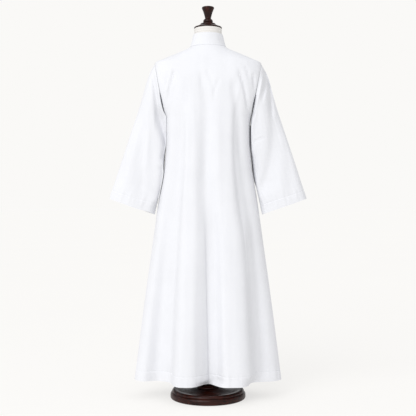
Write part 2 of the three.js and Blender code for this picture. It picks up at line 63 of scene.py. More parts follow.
NECK_Z, TIP_Z, UNDERARM_Z, HEM_Z = 1538.0, 1463.0, 1225.0, 75.0  # neck, shoulder tips, underarms, hem
TIP_X, UNDERARM_X = 234.0, 187.0  # half widths at the shoulder tips and at the underarms
FRONT_NECK_DROP = 46.0  # how much lower the neckline is at the centre front
COLLAR_HEIGHT, FRONT_COLLAR_HEIGHT = 54.0, 46.0
LAP = 18.0  # how far each front runs past the centre front
UNDER = CLOTH + 0.5  # how far in the right front lies where it runs under the left one
UNDER_END = LAP + 4  # how far from the centre front it begins to come out again
LAP_RINGS = 6.0  # about the lap's width as a ring angle
FOLD_TOP_Z = 1430.0  # the height at which the body's folds begin
FOLD_GROWTH = 1.3  # the power by which they grow from there down to the hem
EDGE_HOLD = 8  # the power that keeps the side seams out of the folds until close to them
LENGTH_PER_DEGREE = 3.0  # what a degree of a ring counts for when the columns are shared out

CRISP_CLOTH, CRISP_LINEN, CRISP_THREAD, CRISP_TURNED = 50, 45, 60, 32  # degrees that stay a crisp edge


class Slot(Enum):
    """The record's material slots."""

    CLOTH = "cassock_cloth"
    LINEN = "form_linen"
    WOOD = "turned_wood"
    METAL = "pole_metal"


class Side(Enum):
    """The wearer's sides, with the sign of X on each."""

    LEFT = 1
    RIGHT = -1

    @property
    def label(self) -> str:
        """The word that ends a piece's name."""
        return self.name.lower()


# ---------- numbers and curves ----------
def smoothstep(at: Array, low: float, high: float) -> Array:
    """A smooth step from 0 at low to 1 at high."""
    t = np.clip((np.asarray(at, float) - low) / (high - low), 0, 1)
    return t * t * (3 - 2 * t)


def bell(off: Array, width: float) -> Array:
    """A bell curve of height 1, with half width width."""
    return np.exp(-((off / width) ** 2))


def distances(line: Array) -> Array:
    """How far along a line of points each of them lies."""
    return np.concatenate([[0], np.cumsum(np.linalg.norm(np.diff(line, axis=0), axis=1))])


class Profile:
    """A smooth curve without overshoot through a row of numbers."""

    def __init__(self, keys: Array, values: Array) -> None:
        """Takes the points of the curve.

        Args:
            keys: where the points lie, rising or falling.
            values: the curve's value at each.
        """
        order = 1 if keys[0] < keys[-1] else -1
        self.keys = np.asarray(keys, float)[::order]
        self.values = np.asarray(values, float)[::order]
        chords = np.diff(self.values) / np.diff(self.keys)
        before = np.concatenate([chords[:1], chords])
        after = np.concatenate([chords, chords[-1:]])
        turning = before * after <= 0
        total = np.where(turning, 1.0, before + after)
        self.slopes = np.where(turning, 0.0, 2 * before * after / total)

    def __call__(self, at: Array) -> Array:
        """The curve's value at one or more keys.

        Args:
            at: one or more keys.

        Returns:
            The value at each.
        """
        at = np.asarray(at, float)
        i = np.clip(np.searchsorted(self.keys, at, side="right") - 1, 0, len(self.keys) - 2)
        span = self.keys[i + 1] - self.keys[i]
        t = np.clip((at - self.keys[i]) / span, 0, 1)
        return (
            self.values[i] * (1 + 2 * t) * (1 - t) ** 2
            + self.slopes[i] * span * t * (1 - t) ** 2
            + self.values[i + 1] * t * t * (3 - 2 * t)
            - self.slopes[i + 1] * span * t * t * (1 - t)
        )


def column(rows: tuple, name: str) -> Array:
    """One column of a table of dataclass rows."""
    return np.array([getattr(row, name) for row in rows], float)


def curves_of(rows: tuple, key: str, names: tuple[str, ...]) -> list[Profile]:
    """Smooth curves of some columns of a table, against its key column."""
    return [Profile(column(rows, key), column(rows, name)) for name in names]


def unevenness(across: Array, down: Array, size: tuple[float, float], seed: float) -> Array:
    """Soft uneven swells of cloth, between about -1 and 1.

    Args:
        across: places across the cloth, in mm.
        down: places along it, of the same shape.
        size: how far apart the swells lie across and along, in mm.
        seed: a number that sets one pattern apart from another.

    Returns:
        The swell at each place.
    """
    flat = zip((across / size[0]).ravel(), (down / size[1]).ravel())
    values = [noise.noise(Vector((u, v, seed))) for u, v in flat]
    return np.array(values).reshape(across.shape) * 2


# ---------- materials ----------
def linear(code: str) -> tuple[float, float, float, float]:
    """The linear colour of an sRGB hex value such as #f4f6fb.

    Args:
        code: a # and six hex digits.

    Returns:
        Red, green, blue and a full alpha.
    """
    channels = [int(code[i : i + 2], 16) / 255 for i in (1, 3, 5)]
    red, green, blue = [c / 12.92 if c <= 0.04045 else ((c + 0.055) / 1.055) ** 2.4 for c in channels]
    return (red, green, blue, 1.0)


def add_node(
    tree: bpy.types.NodeTree, kind: str, settings: dict | None = None, links: dict | None = None
) -> bpy.types.Node:
    """Adds a node to a tree.

    Args:
        tree: the tree that it goes into.
        kind: the node's type.
        settings: values for its properties, and for its inputs by name or number.
        links: for each input, by name or number, the output that feeds it.

    Returns:
        The new node.
    """
    node = tree.nodes.new(kind)
    for key, value in (settings or {}).items():
        if isinstance(key, int) or key in node.inputs:
            node.inputs[key].default_value = value
        else:
            setattr(node, key, value)
    for key, output in (links or {}).items():
        tree.links.new(output, node.inputs[key])
    return node


def wave_scale(pitch: float) -> float:
    """The Scale of a wave texture whose bands repeat every pitch metres along an axis."""
    return 2 * np.pi / (10 * pitch)


class Finish:
    """What all finishes share: one surface, patterned in the piece's own space, in two tones."""

    title: str
    light: str
    dark: str

    @property
    def tones(self) -> dict:
        """Settings of a mix node from the dark tone to the light one."""
        return {"data_type": "RGBA", 6: linear(self.dark), 7: linear(self.light)}

    def surface(self, tree: bpy.types.NodeTree, at: dict) -> tuple[dict, dict]:
        """Adds the nodes of the pattern.

        Args:
            tree: the material's tree.
            at: the link that lays a texture in the piece's own space.

        Returns:
            The surface's settings and its links.
        """
        raise NotImplementedError

    def material(self) -> bpy.types.Material:
        """Makes the material.

        Returns:
            The material.
        """
        material = bpy.data.materials.new(self.title)
        material.use_nodes = True
        tree = material.node_tree
        tree.nodes.clear()
        at = {"Vector": add_node(tree, "ShaderNodeTexCoord").outputs["Object"]}
        settings, links = self.surface(tree, at)
        surface = add_node(tree, "ShaderNodeBsdfPrincipled", settings, links)
        add_node(tree, "ShaderNodeOutputMaterial", {}, {"Surface": surface.outputs["BSDF"]})
        return material


@dataclass(frozen=True)
class CottonTwill(Finish):
    """Polyester-cotton twill, woven, bleached and pressed: matt white with a faint cool cast.

    The eye sees a dull white that turns soft grey in the folds, with fine diagonal lines and slubs
    close up. Twill lines of 0.7 mm are drawn at 2.2 mm, because finer ones would only flicker.
    """

    title: ClassVar[str] = "bleached_cotton_twill"
    light: str = "#e1e2e6"
    dark: str = "#dbdce0"
    roughness: float = 0.82
    sheen: float = 0.12
    twill_pitch: float = 2.2 * MM
    slub_size: float = 3.5 * MM
    tone_size: float = 90 * MM
    relief: float = 0.35 * MM

    def surface(self, tree: bpy.types.NodeTree, at: dict) -> tuple[dict, dict]:
        """Adds uneven tone, twill lines and slubs.

        Args:
            tree: the material's tree.
            at: the link that lays a texture in the piece's own space.

        Returns:
            The surface's settings and its links.
        """
        tone = add_node(tree, "ShaderNodeTexNoise", {"Scale": 1 / self.tone_size, "Detail": 4.0}, at)
        colour = add_node(tree, "ShaderNodeMix", self.tones, {0: tone.outputs["Fac"]})
        lines = {"bands_direction": "DIAGONAL", "Scale": wave_scale(self.twill_pitch)}
        waver = {"Distortion": 0.6, "Detail": 1.0, "Detail Scale": 2.0}
        twill = add_node(tree, "ShaderNodeTexWave", lines | waver, at)
        lumps = {"Scale": 1 / self.slub_size, "Detail": 3.0, "Roughness": 0.65}
        slub = add_node(tree, "ShaderNodeTexNoise", lumps, at)
        both = {2: twill.outputs["Fac"], 3: slub.outputs["Fac"]}
        weave = add_node(tree, "ShaderNodeMix", {"data_type": "FLOAT", 0: 0.6}, both)
        depth = {"Strength": 0.5, "Distance": self.relief}
        bump = add_node(tree, "ShaderNodeBump", depth, {"Height": weave.outputs[0]})
        nap = {"Sheen Weight": self.sheen, "Sheen Roughness": 0.5}
        settings = {"Roughness": self.roughness, **nap, "Specular IOR Level": 0.3}
        return settings, {"Base Color": colour.outputs[2], "Normal": bump.outputs["Normal"]}


@dataclass(frozen=True)
class SewingThread(Finish):
    """Spun polyester sewing thread, twisted: a little glossier and whiter than the cloth."""

    title: ClassVar[str] = "spun_polyester_thread"
    light: str = "#fbfbfd"
    dark: str = "#eceef4"
    twist_pitch: float = 0.5 * MM

    def surface(self, tree: bpy.types.NodeTree, at: dict) -> tuple[dict, dict]:
        """Adds the twist.

        Args:
            tree: the material's tree.
            at: the link that lays a texture in the piece's own space.

        Returns:
            The surface's settings and its links.
        """
        lines = {"bands_direction": "DIAGONAL", "Scale": wave_scale(self.twist_pitch)}
        twist = add_node(tree, "ShaderNodeTexWave", lines, at)
        colour = add_node(tree, "ShaderNodeMix", self.tones, {0: twist.outputs["Fac"]})
        return {"Roughness": 0.55, "Sheen Weight": 0.1}, {"Base Color": colour.outputs[2]}


@dataclass(frozen=True)
class LinenJersey(Finish):
    """Cream linen jersey, knitted and stretched over the form: matt, with fine level courses.

    Courses of 1 mm are drawn at 3 mm, the finest that shows.
    """

    title: ClassVar[str] = "cream_linen_jersey"
    light: str = "#e4e2df"
    dark: str = "#d6d3cf"
    course_pitch: float = 3 * MM
    fibre_size: float = 2.5 * MM
    relief: float = 0.4 * MM

    def surface(self, tree: bpy.types.NodeTree, at: dict) -> tuple[dict, dict]:
        """Adds the courses of the knit and its loose fibres.

        Args:
            tree: the material's tree.
            at: the link that lays a texture in the piece's own space.

        Returns:
            The surface's settings and its links.
        """
        lines = {"bands_direction": "Z", "Scale": wave_scale(self.course_pitch)}
        waver = {"Distortion": 1.2, "Detail Scale": 3.0}
        courses = add_node(tree, "ShaderNodeTexWave", lines | waver, at)
        fibres = add_node(tree, "ShaderNodeTexNoise", {"Scale": 1 / self.fibre_size, "Detail": 4.0}, at)
        both = {2: courses.outputs["Fac"], 3: fibres.outputs["Fac"]}
        knit = add_node(tree, "ShaderNodeMix", {"data_type": "FLOAT", 0: 0.5}, both)
        colour = add_node(tree, "ShaderNodeMix", self.tones, {0: knit.outputs[0]})
        depth = {"Strength": 0.5, "Distance": self.relief}
        bump = add_node(tree, "ShaderNodeBump", depth, {"Height": knit.outputs[0]})
        settings = {"Roughness": 0.9, "Sheen Weight": 0.2, "Specular IOR Level": 0.3}
        return settings, {"Base Color": colour.outputs[2], "Normal": bump.outputs["Normal"]}


class Grain(Enum):
    """Which way the grain of a turned piece runs, as the stretch of its pattern on X, Y and Z."""

    UPRIGHT = (1.0, 1.0, 0.08)
    LEVEL = (0.08, 1.0, 1.0)


@dataclass(frozen=True)
class StainedBeech(Finish):
    """Beech, turned, stained dark red-brown and varnished to a gloss.

    The eye sees near black with warm red-brown streaks of grain, under clear sharp highlights.
    """

    grain: Grain = Grain.UPRIGHT
    light: str = "#3a140b"
    dark: str = "#0b0302"
    streak_size: float = 7 * MM
    relief: float = 0.15 * MM

    @property
    def title(self) -> str:
        """The material's name, which tells the two grains apart."""
        return f"stained_beech_{self.grain.name.lower()}"

    def surface(self, tree: bpy.types.NodeTree, at: dict) -> tuple[dict, dict]:
        """Adds streaks of grain, as colour and as low relief, under varnish.

        Args:
            tree: the material's tree.
            at: the link that lays a texture in the piece's own space.

        Returns:
            The surface's settings and its links.
        """
        stretched = add_node(tree, "ShaderNodeMapping", {"Scale": self.grain.value}, at)
        grain = {"Scale": 1 / self.streak_size, "Detail": 6.0, "Roughness": 0.6, "Distortion": 0.4}
        streaks = add_node(tree, "ShaderNodeTexNoise", grain, {"Vector": stretched.outputs["Vector"]})
        ramp = add_node(tree, "ShaderNodeValToRGB", {}, {"Fac": streaks.outputs["Fac"]})
        stops = ((0.36, self.dark), (0.7, self.light))
        for element, (position, code) in zip(ramp.color_ramp.elements, stops):
            element.position = position
            element.color = linear(code)
        depth = {"Strength": 0.15, "Distance": self.relief}
        bump = add_node(tree, "ShaderNodeBump", depth, {"Height": streaks.outputs["Fac"]})
        wood = {"Roughness": 0.5, "IOR": 1.45, "Specular IOR Level": 0.1}
        varnish = {"Coat Weight": 0.4, "Coat Roughness": 0.1, "Coat IOR": 1.4}
        return wood | varnish, {"Base Color": ramp.outputs["Color"], "Normal": bump.outputs["Normal"]}


@dataclass(frozen=True)
class EnamelledSteel(Finish):
    """Steel tube, drawn, and sprayed with dark brown enamel: smooth, with a satin shine."""

    title: ClassVar[str] = "enamelled_steel"
    light: str = "#33231b"
    dark: str = "#231712"
    mottle_size: float = 12 * MM

    def surface(self, tree: bpy.types.NodeTree, at: dict) -> tuple[dict, dict]:
        """Adds a faint mottle to the enamel.

        Args:
            tree: the material's tree.
            at: the link that lays a texture in the piece's own space.

        Returns:
            The surface's settings and its links.
        """
        mottle = add_node(tree, "ShaderNodeTexNoise", {"Scale": 1 / self.mottle_size, "Detail": 3.0}, at)
        colour = add_node(tree, "ShaderNodeMix", self.tones, {0: mottle.outputs["Fac"]})
        enamel = {"Roughness": 0.38, "IOR": 1.5, "Coat Weight": 0.4, "Coat Roughness": 0.2}
        return enamel, {"Base Color": colour.outputs[2]}


@dataclass(frozen=True)
class OpalAcrylic(Finish):
    """Opal acrylic sheet, cast and sanded, lit from below, so that shadows on it stay faint."""

    title: ClassVar[str] = "opal_acrylic_floor"
    light: str = "#989795"
    dark: str = "#969593"
    glow_colour: str = "#fffefc"
    glow: float = 0.645

    def surface(self, tree: bpy.types.NodeTree, at: dict) -> tuple[dict, dict]:
        """Adds a broad, hardly visible unevenness of tone.

        Args:
            tree: the material's tree.
            at: the link that lays a texture in the piece's own space.

        Returns:
            The surface's settings and its links.
        """
        tone = add_node(tree, "ShaderNodeTexNoise", {"Scale": 0.6, "Detail": 2.0}, at)
        colour = add_node(tree, "ShaderNodeMix", self.tones, {0: tone.outputs["Fac"]})
        sheet = {"Roughness": 0.9, "Specular IOR Level": 0.0}
        glow = {"Emission Color": linear(self.glow_colour), "Emission Strength": self.glow}
        return sheet | glow, {"Base Color": colour.outputs[2]}


# ---------- meshes ----------
def add_object(name: str, data: bpy.types.ID) -> bpy.types.Object:
    """Puts a mesh, a lamp or a camera into the scene.

    Args:
        name: the object's name.
        data: what it shows.

    Returns:
        The object.
    """
    made = bpy.data.objects.new(name, data)
    bpy.context.scene.collection.objects.link(made)
    return made


def mesh_piece(
    name: str, points: Array, faces: list, material: bpy.types.Material, sharp_angle: float
) -> bpy.types.Object:
    """Makes a piece that rides with the part.

    Args:
        name: the piece's name.
        points: its points, in mm, one row each.
        faces: its faces, as point numbers.
        material: its finish.
        sharp_angle: edges that bend more than this many degrees stay crisp.

    Returns:
        The piece.
    """
    mesh = bpy.data.meshes.new(name)
    mesh.from_pydata((points * MM).tolist(), [], faces)
    mesh.validate()
    mesh.shade_smooth()
    mesh.set_sharp_from_angle(angle=np.radians(sharp_angle))
    mesh.materials.append(material)
    piece = add_object(name, mesh)
    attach(piece, BODY)
    LOG.info("%s: %d points, %d faces", name, len(points), len(faces))
    return piece


def grid_normals(points: Array, is_tube: bool) -> Array:
    """Outward normals of a grid whose columns run clockwise, seen from above, and whose rows run down.

    Args:
        points: the grid, of shape (rows, columns, 3).
        is_tube: whether the last column joins the first.

    Returns:
        A unit normal for each point.
    """
    if is_tube:
        across = np.roll(points, -1, axis=1) - np.roll(points, 1, axis=1)
    else:
        across = np.gradient(points, axis=1)
    down = np.gradient(points, axis=0)
    normals = np.cross(across, down)
    return normals / np.maximum(np.linalg.norm(normals, axis=2, keepdims=True), 1e-9)


def soften(points: Array, reach: float) -> Array:
    """Rounds the folds of a grid across its columns, and holds its first and last column.

    Args:
        points: the grid, of shape (rows, columns, 3).
        reach: how many columns the rounding reaches.

    Returns:
        The softened grid.
    """
    half = int(3 * reach)
    weights = bell(np.arange(-half, half + 1), reach * 1.414)  # 1.414 makes reach its deviation
    weights /= weights.sum()
    first, last = points[:, :1], points[:, -1:]
    before = 2 * first - points[:, half:0:-1]
    after = 2 * last - points[:, -2 : -half - 2 : -1]
    padded = np.concatenate([before, points, after], axis=1)
    count = points.shape[1]
    return sum(weight * padded[:, k : k + count] for k, weight in enumerate(weights))


def grid_faces(rows: int, columns: int, first: int, is_tube: bool, is_inside: bool) -> list:
    """The faces of a grid of points that are numbered row by row from first.

    Args:
        rows: how many rows the grid has.
        columns: how many columns.
        first: the number of its first point.
        is_tube: whether the last column joins the first.
        is_inside: whether the faces look inwards.

    Returns:
        The faces, as point numbers.
    """
    faces = []
    for j in range(rows - 1):
        for i in range(columns if is_tube else columns - 1):
            along = (i + 1) % columns
            above, below = first + j * columns, first + (j + 1) * columns
            face = (above + i, above + along, below + along, below + i)
            faces.append(face[::-1] if is_inside else face)
    return faces


def capped_faces(rows: int, columns: int, first: int) -> list:
    """The faces of a tube of points, whose two ends are each closed by one flat face.

    Args:
        rows: how many rows of points it has.
        columns: how many points go round it.
        first: the number of its first point.

    Returns:
        The faces, as point numbers.
    """
    last = first + (rows - 1) * columns
    ends = [tuple(range(first, first + columns))[::-1], tuple(range(last, last + columns))]
    return grid_faces(rows, columns, first, True, False) + ends


def around_axis(profile: list, sides: int) -> list:
    """The points of a profile of radii and heights that is turned about the part's own axis."""
    turns = np.linspace(0, 2 * np.pi, sides, endpoint=False)
    return [(radius * np.cos(turn), radius * np.sin(turn), z) for radius, z in profile for turn in turns]


INSIDE_STEP = 3  # the inside of a wall has a row for every third row of its outside
STITCH_ROWS = (-9, -6, -4, -2, 0, 2, 4, 6, 9)  # where closer rows lie beside a line of stitches
NEAR_ROW = 1.2  # a plain row is left out where it is closer than this to one of them


def cloth_shell(points: Array, thickness: Array, is_tube: bool) -> tuple[Array, list]:
    """A closed thin shell: cloth of a given thickness inside a grid of outer points.

    Args:
        points: the outer grid, with a multiple of INSIDE_STEP rows and one more.
        thickness: the cloth's thickness in each row.
        is_tube: whether the last column joins the first.

    Returns:
        The points and the faces.
    """
    rows, columns = points.shape[:2]
    normals = grid_normals(points, is_tube)
    inside = (points - normals * thickness[:, None, None])[::INSIDE_STEP]
    inner_rows, inner = inside.shape[0], rows * columns
    faces = grid_faces(rows, columns, 0, is_tube, False)
    faces += grid_faces(inner_rows, columns, inner, is_tube, True)
    last, inner_last = (rows - 1) * columns, inner + (inner_rows - 1) * columns
    for i in range(columns if is_tube else columns - 1):
        j = (i + 1) % columns
        faces.append((j, i, inner + i, inner + j))
        faces.append((last + i, last + j, inner_last + j, inner_last + i))
    for k in range(0 if is_tube else inner_rows - 1):
        for edge, turn in ((0, 1), (columns - 1, -1)):
            outer = [(k * INSIDE_STEP + n) * columns + edge for n in range(INSIDE_STEP + 1)]
            near, far = inner + k * columns + edge, inner + (k + 1) * columns + edge
            fan = [(outer[n], outer[n + 1], near) for n in range(INSIDE_STEP - 1)]
            fan += [(outer[-2], outer[-1], far), (outer[-2], far, near)]
            faces += [face[::turn] for face in fan]
    return np.concatenate([points.reshape(-1, 3), inside.reshape(-1, 3)]), faces


def with_stitch_rows(plain: Array, line: float) -> Array:
    """Rows of a grid, with closer ones beside a line of stitches, as many as cloth_shell needs.

    Args:
        plain: the places of plain rows, rising.
        line: where the stitches lie.

    Returns:
        All places, rising, without near doubles.
    """
    extra = line + np.array(STITCH_ROWS)
    inside = extra[(extra > plain[0]) & (extra < plain[-1])]
    closest = np.abs(plain[:, None] - inside[None, :]).min(axis=1)
    ends = np.zeros(len(plain), bool)
    ends[[0, -1]] = True
    places = np.sort(np.concatenate([plain[(closest > NEAR_ROW) | ends], inside]))
    while (len(places) - 1) % INSIDE_STEP:
        widest = int(np.argmax(np.diff(places)))
        places = np.insert(places, widest + 1, (places[widest] + places[widest + 1]) / 2)
    return places


Swells = tuple[tuple[float, tuple[float, float], float], ...]  # height, size and seed of each unevenness


@dataclass(frozen=True)
class Stitching:
    """A line of lockstitch: each stitch is a small spindle that dips into the cloth at its ends."""

    pitch: float = 3.2
    length: float = 2.5
    radius: float = 0.32
    sides: int = 5
    stations: tuple[tuple[float, float, float], ...] = (
        (-0.5, 0.35, -0.3),
        (-0.25, 0.9, 0.15),
        (0.25, 0.9, 0.15),
        (0.5, 0.35, -0.3),
    )  # share of the length, of the radius, and the height over the cloth in mm

    def piece(
        self, name: str, lines: list[tuple[Array, Array]], material: bpy.types.Material
    ) -> None:
        """Sews along lines that lie on the cloth, and makes one piece of all the stitches.

        Args:
            name: the piece's name.
            lines: for each line, its points and the cloth's normals there.
            material: the thread's finish.
        """
        points, faces = [], []
        turns = np.linspace(0, 2 * np.pi, self.sides, endpoint=False)
        half = self.length / 2
        for line, normals in lines:
            lengths = distances(line)
            for middle in np.arange(self.pitch, lengths[-1] - self.pitch, self.pitch):
                spots = ((middle, line), (middle - half, line), (middle + half, line), (middle, normals))
                centre, before, after, up = (
                    np.array([np.interp(at, lengths, values[:, k]) for k in range(3)]) for at, values in spots
                )
                along = (after - before) / np.linalg.norm(after - before)
                beside = np.cross(up, along)
                first = len(points)
                for share, girth, height in self.stations:
                    base = centre + along * share * self.length + up * height
                    for turn in turns:
                        spoke = beside * np.cos(turn) + up * np.sin(turn)
                        points.append(base + spoke * self.radius * girth)
                faces += capped_faces(len(self.stations), self.sides, first)
        mesh_piece(name, np.array(points), faces, material, CRISP_THREAD)


def line_of(points: Array, is_tube: bool, row: int) -> tuple[Array, Array]:
    """A row of a grid as a line on the cloth, with the cloth's normals.

    Args:
        points: the grid.
        is_tube: whether the last column joins the first.
        row: which row.

    Returns:
        The line's points, and the normals at them.
    """
    line, up = points[row], grid_normals(points, is_tube)[row]
    if is_tube:
        line, up = np.vstack([line, line[:1]]), np.vstack([up, up[:1]])
    return line, up


def column_line(points: Array, place: int, rows: slice) -> tuple[Array, Array]:
    """Part of a column of a grid as a line on the cloth, with the cloth's normals."""
    return points[rows, place], grid_normals(points, False)[rows, place]


# ---------- the body's form ----------
@dataclass(frozen=True)
class Ring:
    """A level section of the body: its height, half width, depths and squareness."""

    z: float
    side: float
    back: float
    front: float
    squareness: float


@dataclass(frozen=True)
class HemPoint:
    """A crest, wall or valley of the hem, seen from above."""

    ring: float
    x: float
    y: float


@dataclass(frozen=True)
class Crease:
    """A soft trough, or with a negative depth a ridge, that runs down a panel.

    Attributes:
        path: places on it from the top down, as X and Z.
        depth: how far it presses in.
        left: its half width towards the wearer's left.
        right: its half width towards the wearer's right.
        fade: how far from each end it takes to reach its full depth, above and below.
    """

    path: tuple[tuple[float, float], ...]
    depth: float
    left: float
    right: float
    fade: tuple[float, float] = (60, 60)

    def press(self, x: Array, z: Array) -> Array:
        """How far the crease presses in at places of the panel.

        Args:
            x: places across the panel.
            z: their heights.

        Returns:
            The press in mm at each place.
        """
        path = np.array(self.path)
        off = x - Profile(path[:, 1], path[:, 0])(z)
        above = smoothstep(path[0, 1] - z, 0, self.fade[0])
        below = smoothstep(z - path[-1, 1], 0, self.fade[1])
        return self.depth * above * below * bell(off, np.where(off > 0, self.left, self.right))


BACK_CREASES = (
    Crease(((169, 1424), (178, 1384), (184, 1335)), 3.4, 6, 7, (20, 34)),
    Crease(((140, 1432), (158, 1374), (169, 1325), (174, 1270)), 6.8, 7, 9, (26, 60)),
    Crease(((197, 1420), (194, 1362)), 2.4, 5, 6, (16, 24)),
    Crease(((146, 1370), (158, 1290), (165, 1200)), 2.6, 12, 12, (50, 70)),
    Crease(((82, 1405), (94, 1313), (115, 1152), (138, 866), (150, 640)), 3.6, 22, 26, (120, 260)),
    Crease(((28, 1424), (14, 1335), (4, 1215), (6, 1078), (4, 900)), 5.5, 17, 17, (60, 120)),
    Crease(((-20, 1000), (-23, 653), (-28, 440), (-31, 228), (-33, 80)), 14.0, 20, 36, (320, 10)),
    Crease(((30, 1000), (26, 653), (20, 440), (15, 228), (14, 80)), -15.0, 34, 26, (360, 10)),
    Crease(((31, 1424), (30, 1370), (30, 1310)), 1.5, 8, 9, (26, 60)),
    Crease(((14, 1438), (-6, 1395), (-24, 1345), (-30, 1290)), 2.2, 8, 9, (30, 50)),
    Crease(((-52, 1398), (-40, 1366), (-28, 1325), (-22, 1260)), 2.0, 8, 10, (26, 60)),
    Crease(((-110, 1402), (-113, 1335), (-128, 1228), (-137, 1122), (-150, 994)), 8.0, 18, 18, (60, 120)),
    Crease(
        ((-128, 1180), (-170, 866), (-206, 653), (-224, 440), (-240, 228), (-246, 80)),
        7.5, 22, 26, (180, 40),
    ),
    Crease(((-128, 1434), (-148, 1372), (-157, 1340), (-168, 1285), (-176, 1235)), 6.6, 7, 9, (30, 50)),
    Crease(((-155, 1446), (-170, 1414), (-181, 1378)), 4.8, 6, 7, (18, 30)),
    Crease(((-192, 1414), (-198, 1376), (-204, 1326)), 6.0, 6, 7, (20, 30)),
    Crease(((112, 1230), (124, 1000), (134, 760)), 1.8, 14, 12, (90, 120)),
    Crease(((66, 1180), (80, 980), (92, 760)), 1.4, 12, 12, (90, 120)),
    Crease(((-64, 1250), (-74, 1080), (-84, 900)), 0.9, 16, 14, (80, 110)),
    Crease(((108, 820), (120, 547), (128, 335), (133, 110)), 2.2, 17, 17, (200, 40)),
    Crease(((138, 820), (156, 547), (168, 335), (176, 110)), -4.0, 20, 22, (200, 40)),
    Crease(((-136, 900), (-148, 653), (-162, 440), (-175, 228), (-182, 80)), -20.0, 22, 32, (220, 40)),
    Crease(((-92, 560), (-98, 330), (-102, 120)), 0.8, 18, 16, (120, 50)),
    Crease(((190, 640), (210, 360), (228, 110)), 2.4, 16, 20, (120, 50)),
)

FRONT_CREASES = (
    Crease(((140, 1425), (158, 1350), (168, 1260)), 4.0, 10, 10, (50, 60)),
    Crease(((102, 1420), (128, 1240), (150, 980), (170, 700)), 5.5, 22, 26, (140, 220)),
    Crease(((52, 1400), (60, 1200), (70, 980)), 3.6, 18, 16, (110, 160)),
    Crease(((-58, 1410), (-64, 1230), (-76, 960)), 4.2, 18, 20, (110, 180)),
    Crease(((-110, 1425), (-132, 1240), (-156, 960), (-176, 700)), 6.0, 24, 22, (140, 220)),
    Crease(((-150, 1430), (-168, 1350), (-174, 1265)), 3.6, 9, 10, (40, 60)),
    Crease(((30, 1385), (26, 1330), (20, 1290)), 2.2, 9, 9, (30, 40)),
    Crease(((104, 700), (112, 420), (120, 110)), 2.0, 18, 14, (120, 50)),
    Crease(((-104, 740), (-116, 420), (-124, 110)), 2.2, 16, 18, (120, 50)),
)


@dataclass(frozen=True)
class ArmholeSlit:
    """The deep slit into which the body and the sleeve sink beside part of an armhole.

    Attributes:
        top: the heights between which it begins.
        bottom: the heights between which it ends.
        depth: the share of the armhole's depth that the cloth sinks in at the seam.
        width: its half width on each piece.
    """

    top: tuple[float, float]
    bottom: tuple[float, float]
    depth: float
    width: float

    def share(self, z: Array, from_seam: Array) -> Array:
        """The share of its distance from the shoulder line that the cloth sinks in."""
        begun = 1 - smoothstep(z, *self.top)
        return self.depth * begun * smoothstep(z, *self.bottom) * bell(from_seam, self.width)


ARMHOLE_SLITS = {
    Side.LEFT: ArmholeSlit((1280, 1340), (1250, 1284), 0.3, 4.2),
    Side.RIGHT: ArmholeSlit((1276, 1330), (1190, 1225), 0.43, 6.2),
}


